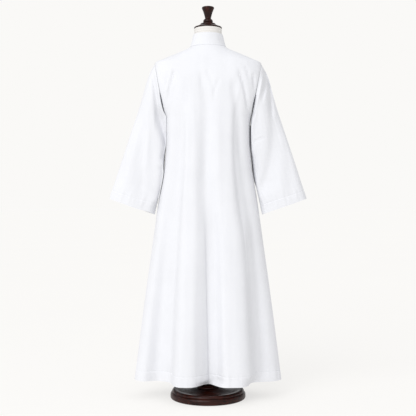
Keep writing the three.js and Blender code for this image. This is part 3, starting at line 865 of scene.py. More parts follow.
@dataclass
class BodyForm:
    """The outer surface of the cassock's body, from its ring tables."""

    rings: tuple[Ring, ...] = (
        Ring(1538, 79, 68, 74, 2),
        Ring(1527, 98, 74, 80, 2),
        Ring(1514, 128, 81, 88, 2.1),
        Ring(1500, 161, 88, 95, 2.2),
        Ring(1484, 198, 94, 101, 2.4),
        Ring(1463, 234, 100, 108, 2.7),
        Ring(1400, 222, 113, 122, 3),
        Ring(1330, 208, 120, 128, 3),
        Ring(1225, 187, 122, 129, 3),
        Ring(1130, 183, 121, 127, 2.9),
        Ring(1020, 191, 118, 122, 2.7),
        Ring(867, 217, 113, 116, 2.4),
        Ring(660, 247, 108, 112, 2.1),
        Ring(427, 280, 104, 110, 2),
        Ring(75, 326, 100, 108, 2),
    )
    hem: tuple[HemPoint, ...] = tuple(
        HemPoint(*row)
        for row in (
            (-90, -326, -24), (-66, -284, 26), (-49, -230, 37), (-40, -186, 52), (-35, -171, 120),
            (-29, -144, 152), (-14, -72, 155), (-4, -32, 112), (7, 0, 70), (14, 34, 112), (20, 68, 152),
            (29, 120, 153), (33, 146, 124), (38, 162, 52), (51, 226, 14), (66, 280, 30), (90, 326, -24),
            (110, 290, -72), (124, 244, -66), (135, 210, -104), (143, 176, -150), (154, 122, -156),
            (164, 74, -114), (180, 0, -140), (196, -78, -112), (206, -128, -155), (216, -180, -148),
            (225, -212, -100), (237, -248, -68), (250, -290, -74),
        )
    )
    armhole_back: float = 72  # how far the armhole reaches behind the shoulder line
    armhole_front: float = 70  # and before it
    armhole_roundness: float = 0.85
    measures: int = 901  # places at which the hem is measured to share out the columns

    def __post_init__(self) -> None:
        """Draws the curves through the tables."""
        names = ("side", "back", "front", "squareness")
        self._side, self._back, self._front, self._squareness = curves_of(self.rings, "z", names)
        ring = np.concatenate([column(self.hem, "ring") + turn for turn in (-360, 0, 360)])
        self._hem_x, self._hem_y = (Profile(ring, np.tile(column(self.hem, name), 3)) for name in ("x", "y"))

    def hem_point(self, ring: Array) -> Array:
        """The folded hem at a ring angle, seen from above."""
        return np.stack([self._hem_x(ring), self._hem_y(ring)], axis=-1)

    def side(self, z: Array) -> Array:
        """A ring's half width, which runs straight from the shoulder tip to the underarm.

        Args:
            z: heights.

        Returns:
            The half width at each.
        """
        beside = (z - UNDERARM_Z) / (TIP_Z - UNDERARM_Z)
        straight = UNDERARM_X + (TIP_X - UNDERARM_X) * beside
        return np.where((beside > 0) & (beside < 1), straight, self._side(z))

    def depth(self, z: Array, is_back: Array) -> Array:
        """A ring's depth to the back or to the front."""
        return np.where(is_back, self._back(z), self._front(z))

    def armhole_depth(self, z: Array, is_back: Array) -> Array:
        """How far the armhole's edge lies behind or before the shoulder line.

        Args:
            z: heights.
            is_back: whether each is on the back's side.

        Returns:
            The distance in mm at each height.
        """
        middle = (TIP_Z + UNDERARM_Z) / 2
        angle = np.arccos(np.clip((z - middle) / (TIP_Z - middle), -1, 1))
        reach = np.where(is_back, self.armhole_back, self.armhole_front)
        return reach * np.sin(angle) ** self.armhole_roundness

    @staticmethod
    def other_share(share: Array, power: Array) -> Array:
        """The side of a superellipse that goes with the other side, as shares of the half axes."""
        return np.maximum(0, 1 - np.abs(share) ** power) ** (1 / power)

    def cut_share(self, z: Array, is_back: Array) -> Array:
        """The share of the oval's half width at which a ring is cut off by the armhole."""
        share = self.armhole_depth(z, is_back) / self.depth(z, is_back)
        return self.other_share(share, self._squareness(z))

    def oval(self, angle: Array, z: Array) -> Array:
        """A point of the unfolded ring, seen from above.

        Args:
            angle: angles of the oval, which match ring angles only at the centres.
            z: heights.

        Returns:
            X and Y at each.
        """
        is_back = np.cos(np.radians(angle)) >= 0
        sine = np.sin(np.radians(angle))
        depth = self.depth(z, is_back) * self.other_share(sine, self._squareness(z))
        width = self.side(z) / self.cut_share(z, is_back)
        return np.stack([width * sine, np.where(is_back, depth, -depth)], axis=-1)

    def hem_shift(self, angle: Array) -> Array:
        """How far the folds carry a point of the unfolded hem."""
        return self.hem_point(angle) - self.oval(angle, np.full_like(angle, HEM_Z))

    @staticmethod
    def front_share(ring: Array) -> Array:
        """The share of the neckline's drop: all of it at the centre front, none at the back."""
        return np.maximum(0, -np.cos(np.radians(ring))) ** 2

    def point(self, ring: Array, z: Array) -> Array:
        """Points of the outer surface.

        Args:
            ring: ring angles in degrees.
            z: heights, of the same shape.

        Returns:
            The points, in mm.
        """
        ring, z = np.broadcast_arrays(np.asarray(ring, float), np.asarray(z, float))
        is_back = np.cos(np.radians(ring)) >= 0
        cut = np.degrees(np.arcsin(self.cut_share(z, is_back)))
        away = np.where(is_back, ring, ring - 180)
        drawn = (away - 360 * np.round(away / 360)) * cut / 90
        angle = np.where(is_back, drawn, 180 + drawn)
        sine = np.sin(np.radians(ring))
        side = np.sign(sine)
        edge = side * np.where(is_back, cut, 180 - cut)
        held = (np.abs(sine) ** EDGE_HOLD)[..., None]
        shift = self.hem_shift(angle) - held * (self.hem_shift(edge) - self.hem_shift(90 * side))
        growth = np.maximum(0, (FOLD_TOP_Z - z) / (FOLD_TOP_Z - HEM_Z)) ** FOLD_GROWTH
        at = self.oval(angle, z) + shift * growth[..., None]
        neck_share = np.maximum(0, (z - TIP_Z) / (NECK_Z - TIP_Z))
        height = z - FRONT_NECK_DROP * self.front_share(ring) * neck_share
        return np.concatenate([at, height[..., None]], axis=-1)

    def even_rings(self, first: float, last: float, columns: int) -> Array:
        """Ring angles that share out the cloth evenly, mostly by its length at the hem.

        Args:
            first: the ring angle at which the panel begins.
            last: where it ends.
            columns: how many gaps it is shared into.

        Returns:
            The ring angles of its columns.
        """
        fine = np.linspace(first, last, self.measures)
        hem = self.hem_point(fine)
        steps = np.linalg.norm(np.diff(hem, axis=0), axis=1) + np.abs(np.diff(fine)) * LENGTH_PER_DEGREE
        lengths = np.concatenate([[0], np.cumsum(steps)])
        return np.interp(np.linspace(0, lengths[-1], columns + 1), lengths, fine)


def plain_oval(ring: Array, z: Array, side: float, back: float, front: float) -> Array:
    """An ellipse with one half depth at the back and another at the front.

    Args:
        ring: the angles round it.
        z: their heights.
        side: its half width.
        back: its half depth at the back.
        front: its half depth at the front.

    Returns:
        The points, in mm.
    """
    angle = np.radians(ring)
    depth = np.where(np.cos(angle) >= 0, back, front) * np.cos(angle)
    return np.stack([side * np.sin(angle), depth, z + 0 * ring], axis=-1)


@dataclass(frozen=True)
class HemFinish:
    """A turned-up and topstitched edge, with the puckers that its stitches draw in the cloth.

    Attributes:
        turn_up: distance from the edge to the line of stitches.
        ditch: how deep the stitches pull the cloth in.
        ditch_width: half width of that ditch.
        ripple: height of the puckers.
        band: how far the doubled cloth stands out.
        waves: pitch, share and phase of each wave that the puckers are made of.
        patch_pitch: how far apart along the edge the puckers are strongest.
        patch_phase: where along that pitch the edge begins, in radians.
        patchiness: how much weaker they are between.
        band_middle: where they are strongest below the stitches, as a share of turn_up.
        band_reach: how far they run out from there, as a share of turn_up.
        reach: how far above the stitches the puckers run out.
        blend: how far below the stitches the doubled cloth has come out.
        turned_in: how far below and above the stitches the cloth's thickness changes.
    """

    turn_up: float = 42
    ditch: float = 1.0
    ditch_width: float = 2.2
    ripple: float = 1.0
    band: float = 0.5
    waves: tuple[tuple[float, float, float], ...] = ((31, 0.55, 0.4), (19, 0.35, 2.1), (47, 0.5, 4.0))
    patch_pitch: float = 330
    patch_phase: float = 1.3
    patchiness: float = 0.35
    band_middle: float = 0.72
    band_reach: float = 0.62
    reach: float = 20
    blend: float = 3
    turned_in: tuple[float, float] = (2, 3)

    def stitch_row(self, from_edge: Array) -> int:
        """The row of the stitches, among rows that lie this far from the edge."""
        return int(np.argmin(np.abs(from_edge - self.turn_up)))

    def thickness(self, from_edge: Array) -> Array:
        """The thickness of the cloth in each row, doubled where it is turned up.

        Args:
            from_edge: how far each row lies from the edge.

        Returns:
            The thickness in mm of each row.
        """
        below, above = self.turned_in
        in_turn_up = 1 - smoothstep(from_edge, self.turn_up - below, self.turn_up + above)
        return CLOTH + (HEM_CLOTH - CLOTH) * in_turn_up

    def press(self, from_edge: Array, along: Array) -> Array:
        """How far the finish presses the cloth in.

        Args:
            from_edge: distance of each point from the edge.
            along: its distance along the edge.

        Returns:
            The press in mm, negative where the cloth stands out.
        """
        pucker = sum(
            share * np.sin(2 * np.pi * along / pitch + phase) for pitch, share, phase in self.waves
        )
        patch = np.sin(2 * np.pi * along / self.patch_pitch + self.patch_phase)
        patches = 1 - self.patchiness + self.patchiness * patch
        in_band = bell(from_edge - self.turn_up * self.band_middle, self.turn_up * self.band_reach)
        above = bell(from_edge - self.turn_up, self.reach)
        spread = np.where(from_edge < self.turn_up, in_band, above)
        press = self.ditch * bell(from_edge - self.turn_up, self.ditch_width)
        press = press + self.ripple * pucker * patches * spread
        return press - self.band * smoothstep(self.turn_up - from_edge, 0, self.blend)


@dataclass
class CassockBody:
    """The back and the two fronts of the cassock, as thin shells, with their sewing."""

    form: BodyForm
    cloth: bpy.types.Material
    thread: bpy.types.Material
    back_columns: int = 300
    front_columns: int = 140
    skirt_rows: int = 132
    armhole_rows: int = 36
    shoulder_rows: int = 17
    lap_step: float = 3.0
    softness: float = 4.4  # how many columns the rounding of the folds reaches
    soft_from: float = 400  # how far below FOLD_TOP_Z it is full
    swells: Swells = ((0.9, (52, 480), 0), (0.3, (18, 220), 7))
    seam_hold: float = 16  # half width beside a seam where no crease starts
    neck_hold: float = 22  # the same below the neckline
    hem_hold: float = 8  # and where the hem's puckers stop beside a side seam
    seam_ditch: float = 1.1
    seam_width: float = 3
    neck_ditch: float = 0.2  # the neckline's share of the seams' ditch
    topstitch: float = 25.0  # from the left front's edge
    topstitch_row: int = 4  # the row below the neckline in which it begins
    hem: HemFinish = HemFinish()
    stitching: Stitching = Stitching()

    def __post_init__(self) -> None:
        """Lays out the rows: even in the skirt, and closer at both ends of the armholes."""
        skirt = np.linspace(HEM_Z, UNDERARM_Z, self.skirt_rows, endpoint=False)
        turn = np.linspace(0, np.pi, self.armhole_rows, endpoint=False)
        armhole = (TIP_Z + UNDERARM_Z) / 2 - (TIP_Z - UNDERARM_Z) / 2 * np.cos(turn)
        shoulder = np.linspace(TIP_Z, NECK_Z, self.shoulder_rows)
        plain = np.concatenate([skirt, armhole, shoulder])
        self.heights = with_stitch_rows(plain, HEM_Z + self.hem.turn_up)[::-1]

    @staticmethod
    def edge_distance(points: Array, edges: tuple[int, ...]) -> Array:
        """How far each point lies from the nearer of some columns of its row."""
        gaps = [np.linalg.norm(points - points[:, [edge]], axis=2) for edge in edges]
        return np.min(gaps, axis=0)

    @staticmethod
    def dip_at_armhole(points: Array, from_edge: Array) -> None:
        """Sinks the cloth towards the shoulder line beside part of the armhole.

        Args:
            points: the panel's outer grid, which is changed.
            from_edge: how far each point lies from the armhole.
        """
        left = ARMHOLE_SLITS[Side.LEFT].share(points[..., 2], from_edge)
        right = ARMHOLE_SLITS[Side.RIGHT].share(points[..., 2], from_edge)
        points[..., 1] *= 1 - np.where(points[..., 0] > 0, left, right)

    def drape(
        self, points: Array, edges: tuple[int, ...], creases: tuple[Crease, ...], seed: float
    ) -> Array:
        """Presses creases, unevenness, seams and the hem into a panel.

        Args:
            points: the panel's outer grid.
            edges: its columns that end at a side seam or an armhole.
            creases: the creases of that panel.
            seed: sets the panel's unevenness apart from another's.

        Returns:
            The draped grid.
        """
        soft = smoothstep(FOLD_TOP_Z - self.heights, 0, self.soft_from)[:, None, None]
        points = points + (soften(points, self.softness) - points) * soft
        x, z = points[..., 0], points[..., 2]
        from_edge = self.edge_distance(points, edges)
        below_neck = np.linalg.norm(points - points[:1], axis=2)
        free = (1 - bell(from_edge, self.seam_hold)) * (1 - bell(below_neck, self.neck_hold))
        press = sum(crease.press(x, z) for crease in creases)
        for height, size, turn in self.swells:
            press = press + height * unevenness(x, z, size, seed + turn)
        press = press * free
        seams = bell(from_edge, self.seam_width) + self.neck_ditch * bell(below_neck, self.seam_width)
        press = press + self.seam_ditch * seams
        hem = self.hem.press(z - HEM_Z, distances(points[-1])[None, :])
        press = press + hem * (1 - bell(from_edge, self.hem_hold))
        draped = points - grid_normals(points, False) * press[..., None]
        self.dip_at_armhole(draped, from_edge)
        draped[-1, :, 2] = HEM_Z
        return draped

    def dress(self, name: str, points: Array) -> None:
        """Args:
            name: the node that the panel stands for.
            points: its outer grid.
        """
        shell, faces = cloth_shell(points, self.hem.thickness(self.heights - HEM_Z), False)
        piece = mesh_piece(f"{name}_cloth", shell, faces, self.cloth, CRISP_CLOTH)
        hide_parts(name)

    def half_seam(self, is_back: bool) -> Array:
        """Half the gap of a side seam in each row, as a ring angle."""
        return np.degrees(SEAM / 2 / self.form.depth(self.heights, np.array(is_back)))[:, None]

    def back(self) -> Array:
        """Makes the back panel and returns its outer grid.

        Returns:
            The panel's outer grid.
        """
        rings = self.form.even_rings(-90, 90, self.back_columns)
        reach = 90 - self.half_seam(True)
        ring = np.clip(rings[None, :], -reach, reach)
        points = self.form.point(ring, self.heights[:, None])
        points = self.drape(points, (0, -1), BACK_CREASES, 1.0)
        self.dress("back", points)
        return points

    def front(self, side: Side) -> Array:
        """Makes one front, which runs LAP past the centre front, and returns its outer grid.

        The rest of the front has as many columns in each row; those of the lap lie lap_step apart.
        The right front runs under the left one from twice LAP before the centre.

        Args:
            side: the wearer's side that it covers.

        Returns:
            The panel's outer grid.
        """
        is_left = side is Side.LEFT
        seam_ring, outward = (90.0, -1) if is_left else (270.0, 1)
        shared = self.form.even_rings(seam_ring, 180 + outward * LAP_RINGS, self.front_columns)
        heights = self.heights[:, None]
        near = self.form.point(np.array([[179.0, 181.0]]), heights)
        degree = np.linalg.norm(near[:, 1] - near[:, 0], axis=1)[:, None] / 2
        widest = LAP if is_left else 2 * LAP
        lap_at = np.linspace(widest, -LAP, int((widest + LAP) / self.lap_step) + 1)[None, :]
        lap_ring = 180 + outward * lap_at / degree
        seam = seam_ring - outward * self.half_seam(False)
        share = ((shared[:-1] - seam_ring) / (shared[-1] - seam_ring))[None, :]
        rest_ring = seam + (lap_ring[:, :1] - seam) * share
        ring = np.concatenate([rest_ring, lap_ring], axis=1)
        if is_left:
            points, edge = self.form.point(ring, heights), 0
        else:
            from_centre = np.concatenate([np.abs(rest_ring - 180) * degree, lap_at + 0 * degree], axis=1)
            points, edge = self.form.point(ring[:, ::-1], heights), -1
            tuck = UNDER * (1 - smoothstep(from_centre[:, ::-1], UNDER_END, 2 * LAP))
            points = points - grid_normals(points, False) * tuck[..., None]
        points = self.drape(points, (edge,), FRONT_CREASES, 5.0)
        self.dress(f"front_{side.label}", points)
        return points

    def sew(self, back: Array, left: Array, right: Array) -> None:
        """Sews the hem and the left front's edge, down to the hem's stitches.

        Args:
            back: the back's outer grid.
            left: the left front's.
            right: the right front's.
        """
        row = self.hem.stitch_row(self.heights - HEM_Z)
        lines = [line_of(panel, False, row) for panel in (back, left, right)]
        self.stitching.piece("stitches_hem", lines, self.thread)
        in_from_edge = int(round(self.topstitch / self.lap_step))
        line = column_line(left, left.shape[1] - 1 - in_from_edge, slice(self.topstitch_row, row))
        self.stitching.piece("stitches_front_edge", [line], self.thread)


@dataclass
class BandCollar:
    """The band collar, open at the centre front, where its two ends meet."""

    cloth: bpy.types.Material
    thread: bpy.types.Material
    columns: int = 280
    rows: int = 19
    open_ring: float = 1.2  # half the opening, as a ring angle
    clearance: float = 0.2
    edge_stitch: float = 5.0  # from its top and from its seam
    around: float = 1.25  # mm that a degree of a ring counts in its unevenness
    dents: tuple[float, ...] = (-40, -53)  # ring angles of two soft dents on the wearer's right
    dent_depth: float = 1.2
    dent_width: float = 5
    dent_lean: float = 10  # degrees that a dent runs sideways from the collar's seam to its top
    uneven_depth: float = 0.5
    uneven_size: tuple[float, float] = (26, 40)
    stitch_depth: float = 0.5
    stitch_width: float = 1.5
    top_edge: tuple[float, float] = (0.7, 1.6)  # how far the fold at its top bends in, and its width
    seam_swell: tuple[float, float, float] = (0.9, 1.5, 2.5)  # height, distance from its seam, width
    stitching: Stitching = Stitching()
    rings: tuple[tuple[float, float, float, float], ...] = (
        (1, 65.2, 63.2, 69),
        (0.5, 71.5, 64.5, 71),
        (0, 79, 68, 74),
    )  # share of the height, half width, depth to the back and to the front

    def press(self, ring: Array, share: Array, z: Array, height: Array) -> Array:
        """How far unevenness, dents, stitches and edges press the collar in.

        Args:
            ring: ring angles of its columns, as one row.
            share: its rows' share of the height, as one column.
            z: the height of each point.
            height: the collar's height at each ring angle.

        Returns:
            The press in mm, negative where the cloth stands out.
        """
        uneven = self.uneven_depth * unevenness(ring * self.around + 0 * z, z, self.uneven_size, 3.0)
        press = uneven * np.sin(np.pi * np.clip(share, 0.02, 0.98))
        lean = self.dent_lean * (1 - share)
        near, far = (bell(ring - at + lean, self.dent_width) for at in self.dents)
        soft = (near + far) * smoothstep(share, 0.1, 0.4)
        press = press + self.dent_depth * soft * (1 - smoothstep(share, 0.75, 1.0))
        from_top, from_seam = (1 - share) * height, share * height
        upper, lower = (bell(off - self.edge_stitch, self.stitch_width) for off in (from_top, from_seam))
        press = press + self.stitch_depth * (upper + lower)
        bend, width = self.top_edge
        swell, at, spread = self.seam_swell
        return press + bend * bell(from_top, width) - swell * bell(from_seam - at, spread)

    def build(self) -> None:
        """Makes the collar and its two rows of stitches."""
        table = np.array(self.rings, float).T
        side, back, front = (Profile(table[0], values) for values in table[1:])
        ring = np.linspace(-180 + self.open_ring, 180 - self.open_ring, self.columns + 1)
        share = np.linspace(1, 0, self.rows)[:, None]
        drop = BodyForm.front_share(ring)
        height = COLLAR_HEIGHT + (FRONT_COLLAR_HEIGHT - COLLAR_HEIGHT) * drop
        z = NECK_Z + COLLAR_SEAM * share - FRONT_NECK_DROP * drop + self.clearance + share * height
        points = plain_oval(ring[None, :] + 0 * z, z, side(share), back(share), front(share))
        normals = grid_normals(points, False)
        normals[..., 2] = 0
        points = points - normals * self.press(ring[None, :], share, z, height)[..., None]
        shell, faces = cloth_shell(points, np.full(self.rows, COLLAR_CLOTH), False)
        piece = mesh_piece("collar_band", shell, faces, self.cloth, CRISP_CLOTH)
        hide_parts("collar")
        row = int(round(self.edge_stitch / (COLLAR_HEIGHT / (self.rows - 1))))
        lines = [line_of(points, False, at) for at in (row, self.rows - 1 - row)]
        self.stitching.piece("stitches_collar", lines, self.thread)


# ---------- sleeves ----------
@dataclass(frozen=True)
class SleeveSection:
    """A section of a sleeve: its outer and inner edge, and its half depths."""

    along: float
    outer_x: float
    outer_z: float
    inner_x: float
    inner_z: float
    back: float
    front: float


@dataclass(frozen=True)
class SleeveFold:
    """A trough along a sleeve, or with a negative depth a ridge.

    Attributes:
        start: share of the sleeve's length where it begins.
        end: where it ends.
        from_angle: its angle round the sleeve at its start; 0 is the outer edge, 90 the middle of
            the back and 180 the inner edge.
        to_angle: the same at its end.
        depth: how far it presses in.
        width: its half width in degrees.
        power: the smaller, the fuller the fold is near its ends.
    """

    start: float
    end: float
    from_angle: float
    to_angle: float
    depth: float
    width: float
    power: float = 0.7

    def press(self, along: Array, around: Array) -> Array:
        """How far the fold presses in.

        Args:
            along: shares of the sleeve's length.
            around: angles round it.

        Returns:
            The press in mm at each place.
        """
        t = (along - self.start) / (self.end - self.start)
        off = (around - (self.from_angle + (self.to_angle - self.from_angle) * t)) / self.width
        swell = np.sin(np.pi * np.clip(t, 0, 1)) ** self.power
        return self.depth * np.where((t > 0) & (t < 1), swell, 0) * np.exp(-off * off)


SLEEVE_FRONT_FOLDS = {
    Side.LEFT: (
        SleeveFold(-0.1, 1.1, 290, 268, 10, 26),
        SleeveFold(0.02, 0.55, 250, 205, 12, 18),
        SleeveFold(0.1, 0.7, 310, 300, 2.4, 10),
        SleeveFold(0.5, 1.2, 230, 222, 3, 13),
    ),
    Side.RIGHT: (
        SleeveFold(-0.1, 1.1, 300, 262, 11, 26),
        SleeveFold(0.02, 0.55, 250, 207, 12, 18),
        SleeveFold(0.1, 0.7, 318, 300, 2.4, 10),
        SleeveFold(0.5, 1.2, 236, 224, 3, 13),
    ),
}
SLEEVE_BACK_CREASES = {
    Side.LEFT: (
        Crease(
            ((236, 1424), (226, 1330), (217, 1240), (211, 1185), (205, 1145), (197, 1085)),
            15, 12, 12, (50, 30),
        ),
        Crease(
            ((222, 1290), (214, 1230), (209, 1180), (205, 1140), (204, 1080), (206, 1015)),
            14, 14, 12, (70, 50),
        ),
        Crease(((214, 1030), (222, 960), (229, 915), (234, 860)), 13, 16, 14, (40, 40)),
        Crease(((290, 1290), (282, 1190), (284, 1060), (290, 950), (298, 850)), 10, 36, 17, (120, 90)),
        Crease(((242, 1310), (246, 1100), (258, 940), (272, 850)), 4, 16, 14, (80, 60)),
        Crease(((232, 940), (238, 870), (244, 800)), 9, 15, 24, (70, 10)),
        Crease(((236, 1405), (223, 1350), (211, 1300), (203, 1250)), -3.2, 7, 6, (30, 30)),
        Crease(((350, 1080), (372, 990), (392, 900)), 2.4, 18, 18, (60, 40)),
    ),
    Side.RIGHT: (
        Crease(((247, 1452), (250, 1403), (249, 1366), (240, 1322), (228, 1270)), 11, 7, 11, (12, 80)),
        Crease(((252, 1444), (268, 1361), (276, 1292), (280, 1200)), 13, 8, 11, (16, 80)),
        Crease(
            (
                (255, 1440), (273, 1361), (281, 1292), (286, 1217), (284, 1124), (274, 1037),
                (262, 969), (250, 915), (240, 860),
            ),
            14.5, 46, 25, (90, 90),
        ),
        Crease(((246, 1142), (226, 1129), (205, 1113)), 3.0, 9, 9, (8, 8)),
        Crease(((328, 1140), (343, 1062), (352, 960), (360, 860)), 5, 22, 24, (70, 30)),
        Crease(
            ((240, 1420), (231, 1372), (219, 1316), (207, 1262), (203, 1190), (207, 1120)),
            -5, 8, 7, (40, 60),
        ),
        Crease(((284, 1000), (296, 930), (306, 850)), 2.2, 14, 14, (50, 30)),
    ),
}
SLEEVE_LEANS = {
    Side.LEFT: (
        (1300, 0), (1258, 0.9), (1225, 1), (1120, 1), (1080, 0.75), (1040, 0.6), (1010, 0.75), (985, 1),
        (900, 1), (830, 0.4),
    ),
    Side.RIGHT: (
        (1240, 0), (1215, 0.45), (1180, 0.6), (1090, 0.55), (1040, 0.25), (1000, 0.15), (920, 0.4),
        (850, 0.1),
    ),
}  # height, and how closely the back of the sleeve's inner edge lies against the body there


@dataclass
class BellSleeve:
    """A wide sleeve, as a thin tube of cloth, with its stitched cuff."""

    side: Side
    cloth: bpy.types.Material
    thread: bpy.types.Material
    form: BodyForm
    columns: int = 200
    rows: int = 92
    seam_rows: int = 22  # closer rows beside the armhole
    seam_zone: float = 0.93  # the share of the way from the cuff at which they begin
    cuff_zone: float = 66.0
    roundness: float = 0.85
    fullness: float = 0.62  # how much squarer its section gets where it lies against the body
    edge_width: float = 24  # degrees from its inner edge over which its front leaves the body
    front_lean: float = 0.9  # how closely its front lies against the body, below the underarm
    front_lean_at: float = 212
    front_lean_width: float = 22
    front_lean_from: tuple[float, float] = (850, 960)  # heights between which that lean begins
    underarm_fade: float = 40  # how far below the underarm it is full
    body_squareness: float = 3.0
    clearance: float = 1.0
    swells: Swells = ((1.0, (44, 300), 11), (0.4, (20, 130), 17))
    swell_radius: float = 105  # mm of a typical section, on which the swells are laid out
    swell_from: float = 0.1  # the share of its length over which the swells set in
    edge_zone: float = 12  # degrees from its inner and outer edge where no swell begins
    inner_zone: float = 40  # degrees from its inner edge at which the swells are full
    inner_turn: tuple[float, float] = (100, 155)  # angles between which its back turns to its inner edge
    round_share: float = 0.03  # the share of its length over which it leaves the armhole's shape
    fold_from: float = 0.35  # the sine of the angle from its edges at which the back's folds are full
    fold_hold: float = 26  # how far from the armhole the folds reach their full depth
    seam_ditch: float = 1.1
    seam_width: float = 3
    cuff: HemFinish = HemFinish(turn_up=39, ripple=1.2)
    stitching: Stitching = Stitching()
    sections: tuple[SleeveSection, ...] = (
        SleeveSection(0, TIP_X, TIP_Z, UNDERARM_X, UNDERARM_Z, 72, 70),
        SleeveSection(0.08, 257, 1420, 191, 1182, 71, 69),
        SleeveSection(0.3, 304, 1265, 194, 1086, 62, 60),
        SleeveSection(0.55, 350, 1126, 202, 990, 55, 53),
        SleeveSection(0.78, 392, 998, 220, 898, 50, 48),
        SleeveSection(1, 433, 873, 240, 804, 45, 43),
    )

    def __post_init__(self) -> None:
        """Draws the curves through the sections."""
        names = ("outer_x", "outer_z", "inner_x", "inner_z", "back", "front")
        self._curves = dict(zip(names, curves_of(self.sections, "along", names)))
        self._lean = Profile(*np.array(SLEEVE_LEANS[self.side], float).T)

    def point(self, along: Array, around: Array, press: Array) -> Array:
        """Points of the left sleeve's outer surface.

        Args:
            along: shares of the sleeve's length.
            around: angles round it.
            press: how far the folds press in there.

        Returns:
            The points, in mm.
        """
        at = {name: curve(along) for name, curve in self._curves.items()}
        angle = np.radians(around)
        sine, cosine = np.sin(angle), np.cos(angle)
        share = (1 + cosine) / 2
        x = at["inner_x"] + (at["outer_x"] - at["inner_x"]) * share
        z = at["inner_z"] + (at["outer_z"] - at["inner_z"]) * share
        reach = np.where(sine >= 0, at["back"], at["front"])
        fuller = self.fullness * self._lean(z) * smoothstep(around, *self.inner_turn) * (sine > 0)
        fuller = fuller * smoothstep(along, 0, self.round_share)
        depth = np.maximum(0, reach * np.abs(sine) ** (self.roundness - fuller) - press)
        return np.stack([x, np.where(sine >= 0, depth, -depth), z], axis=-1)

    def lengths(self, around: Array) -> Array:
        """The sleeve's length from armhole to cuff at each angle round it."""
        line = self.point(np.linspace(0, 1, 24)[:, None], around, np.zeros(1))
        return np.linalg.norm(np.diff(line, axis=0), axis=2).sum(axis=0)

    def rows_from_cuff(self, lengths: Array) -> Array:
        """How far the points lie from the cuff, row by row from the armhole down.

        Args:
            lengths: the sleeve's length at each angle round it.

        Returns:
            The distances, of shape (rows, columns).
        """
        cuff = with_stitch_rows(np.linspace(0, self.cuff_zone, 10), self.cuff.turn_up)
        spare = (2 - len(cuff) - self.rows) % INSIDE_STEP
        far = np.linspace(0, self.seam_zone, self.rows + spare - self.seam_rows)[1:]
        near = np.linspace(self.seam_zone, 1, self.seam_rows + 1)[1:]
        upper = self.cuff_zone + (lengths - self.cuff_zone) * np.concatenate([far, near])[:, None]
        return np.concatenate([cuff[:, None] + 0 * lengths, upper])[::-1]

    def fold_press(self, along: Array, around: Array) -> Array:
        """How far the folds press in: at the front by angle, at the back by place.

        Args:
            along: shares of the sleeve's length.
            around: angles round it.

        Returns:
            The press in mm at each point.
        """
        plain = self.point(along, around, 0 * along)
        front = sum(fold.press(along, around) for fold in SLEEVE_FRONT_FOLDS[self.side])
        back = sum(crease.press(plain[..., 0], plain[..., 2]) for crease in SLEEVE_BACK_CREASES[self.side])
        full = smoothstep(np.sin(np.radians(around)), 0, self.fold_from)
        return np.where(around > 180, front, back * full)

    def lean_on_body(self, points: Array, along: Array, around: Array) -> None:
        """Lays the sleeve's inner edge, and more of its front, against the side of the body.

        Args:
            points: the sleeve's outer grid, which is changed.
            along: shares of the sleeve's length.
            around: angles round it.
        """
        z = points[..., 2]
        side_x = self.form.point(90.0, z)[..., 0]
        is_back = points[..., 1] > 0
        off = np.minimum(1, np.abs(points[..., 1]) / self.form.depth(z, is_back))
        width = side_x / self.form.cut_share(z, is_back)
        body_x = width * self.form.other_share(off, self.body_squareness) + self.clearance
        at_back, at_front = smoothstep(around, *self.inner_turn), bell(around - 180, self.edge_width)
        reach = np.where(around < 180, at_back, at_front)
        at_edge = self._lean(z) * reach * smoothstep(along, 0, self.round_share)
        below = smoothstep(UNDERARM_Z - z, 0, self.underarm_fade) * smoothstep(z, *self.front_lean_from)
        on_front = self.front_lean * below * bell(around - self.front_lean_at, self.front_lean_width)
        share = np.minimum(1, np.maximum(at_edge, on_front))
        points[..., 0] -= np.maximum(0, points[..., 0] - body_x) * share

    def fine_press(self, along: Array, around: Array, from_cuff: Array) -> Array:
        """How far the cloth's unevenness presses in, away from the sleeve's edges and the armhole.

        Args:
            along: shares of the sleeve's length.
            around: angles round it.
            from_cuff: distances from the cuff.

        Returns:
            The press in mm at each point.
        """
        girth = np.radians(around) * self.swell_radius
        fine = sum(
            height * unevenness(girth, from_cuff, size, seed + self.side.value)
            for height, size, seed in self.swells
        )
        from_inner = np.abs(around - 180)
        fine = fine * smoothstep(along, 0.0, self.swell_from)
        fine = fine * smoothstep(from_inner, self.edge_zone, self.inner_zone)
        return fine * smoothstep(180 - from_inner, 0, self.edge_zone)

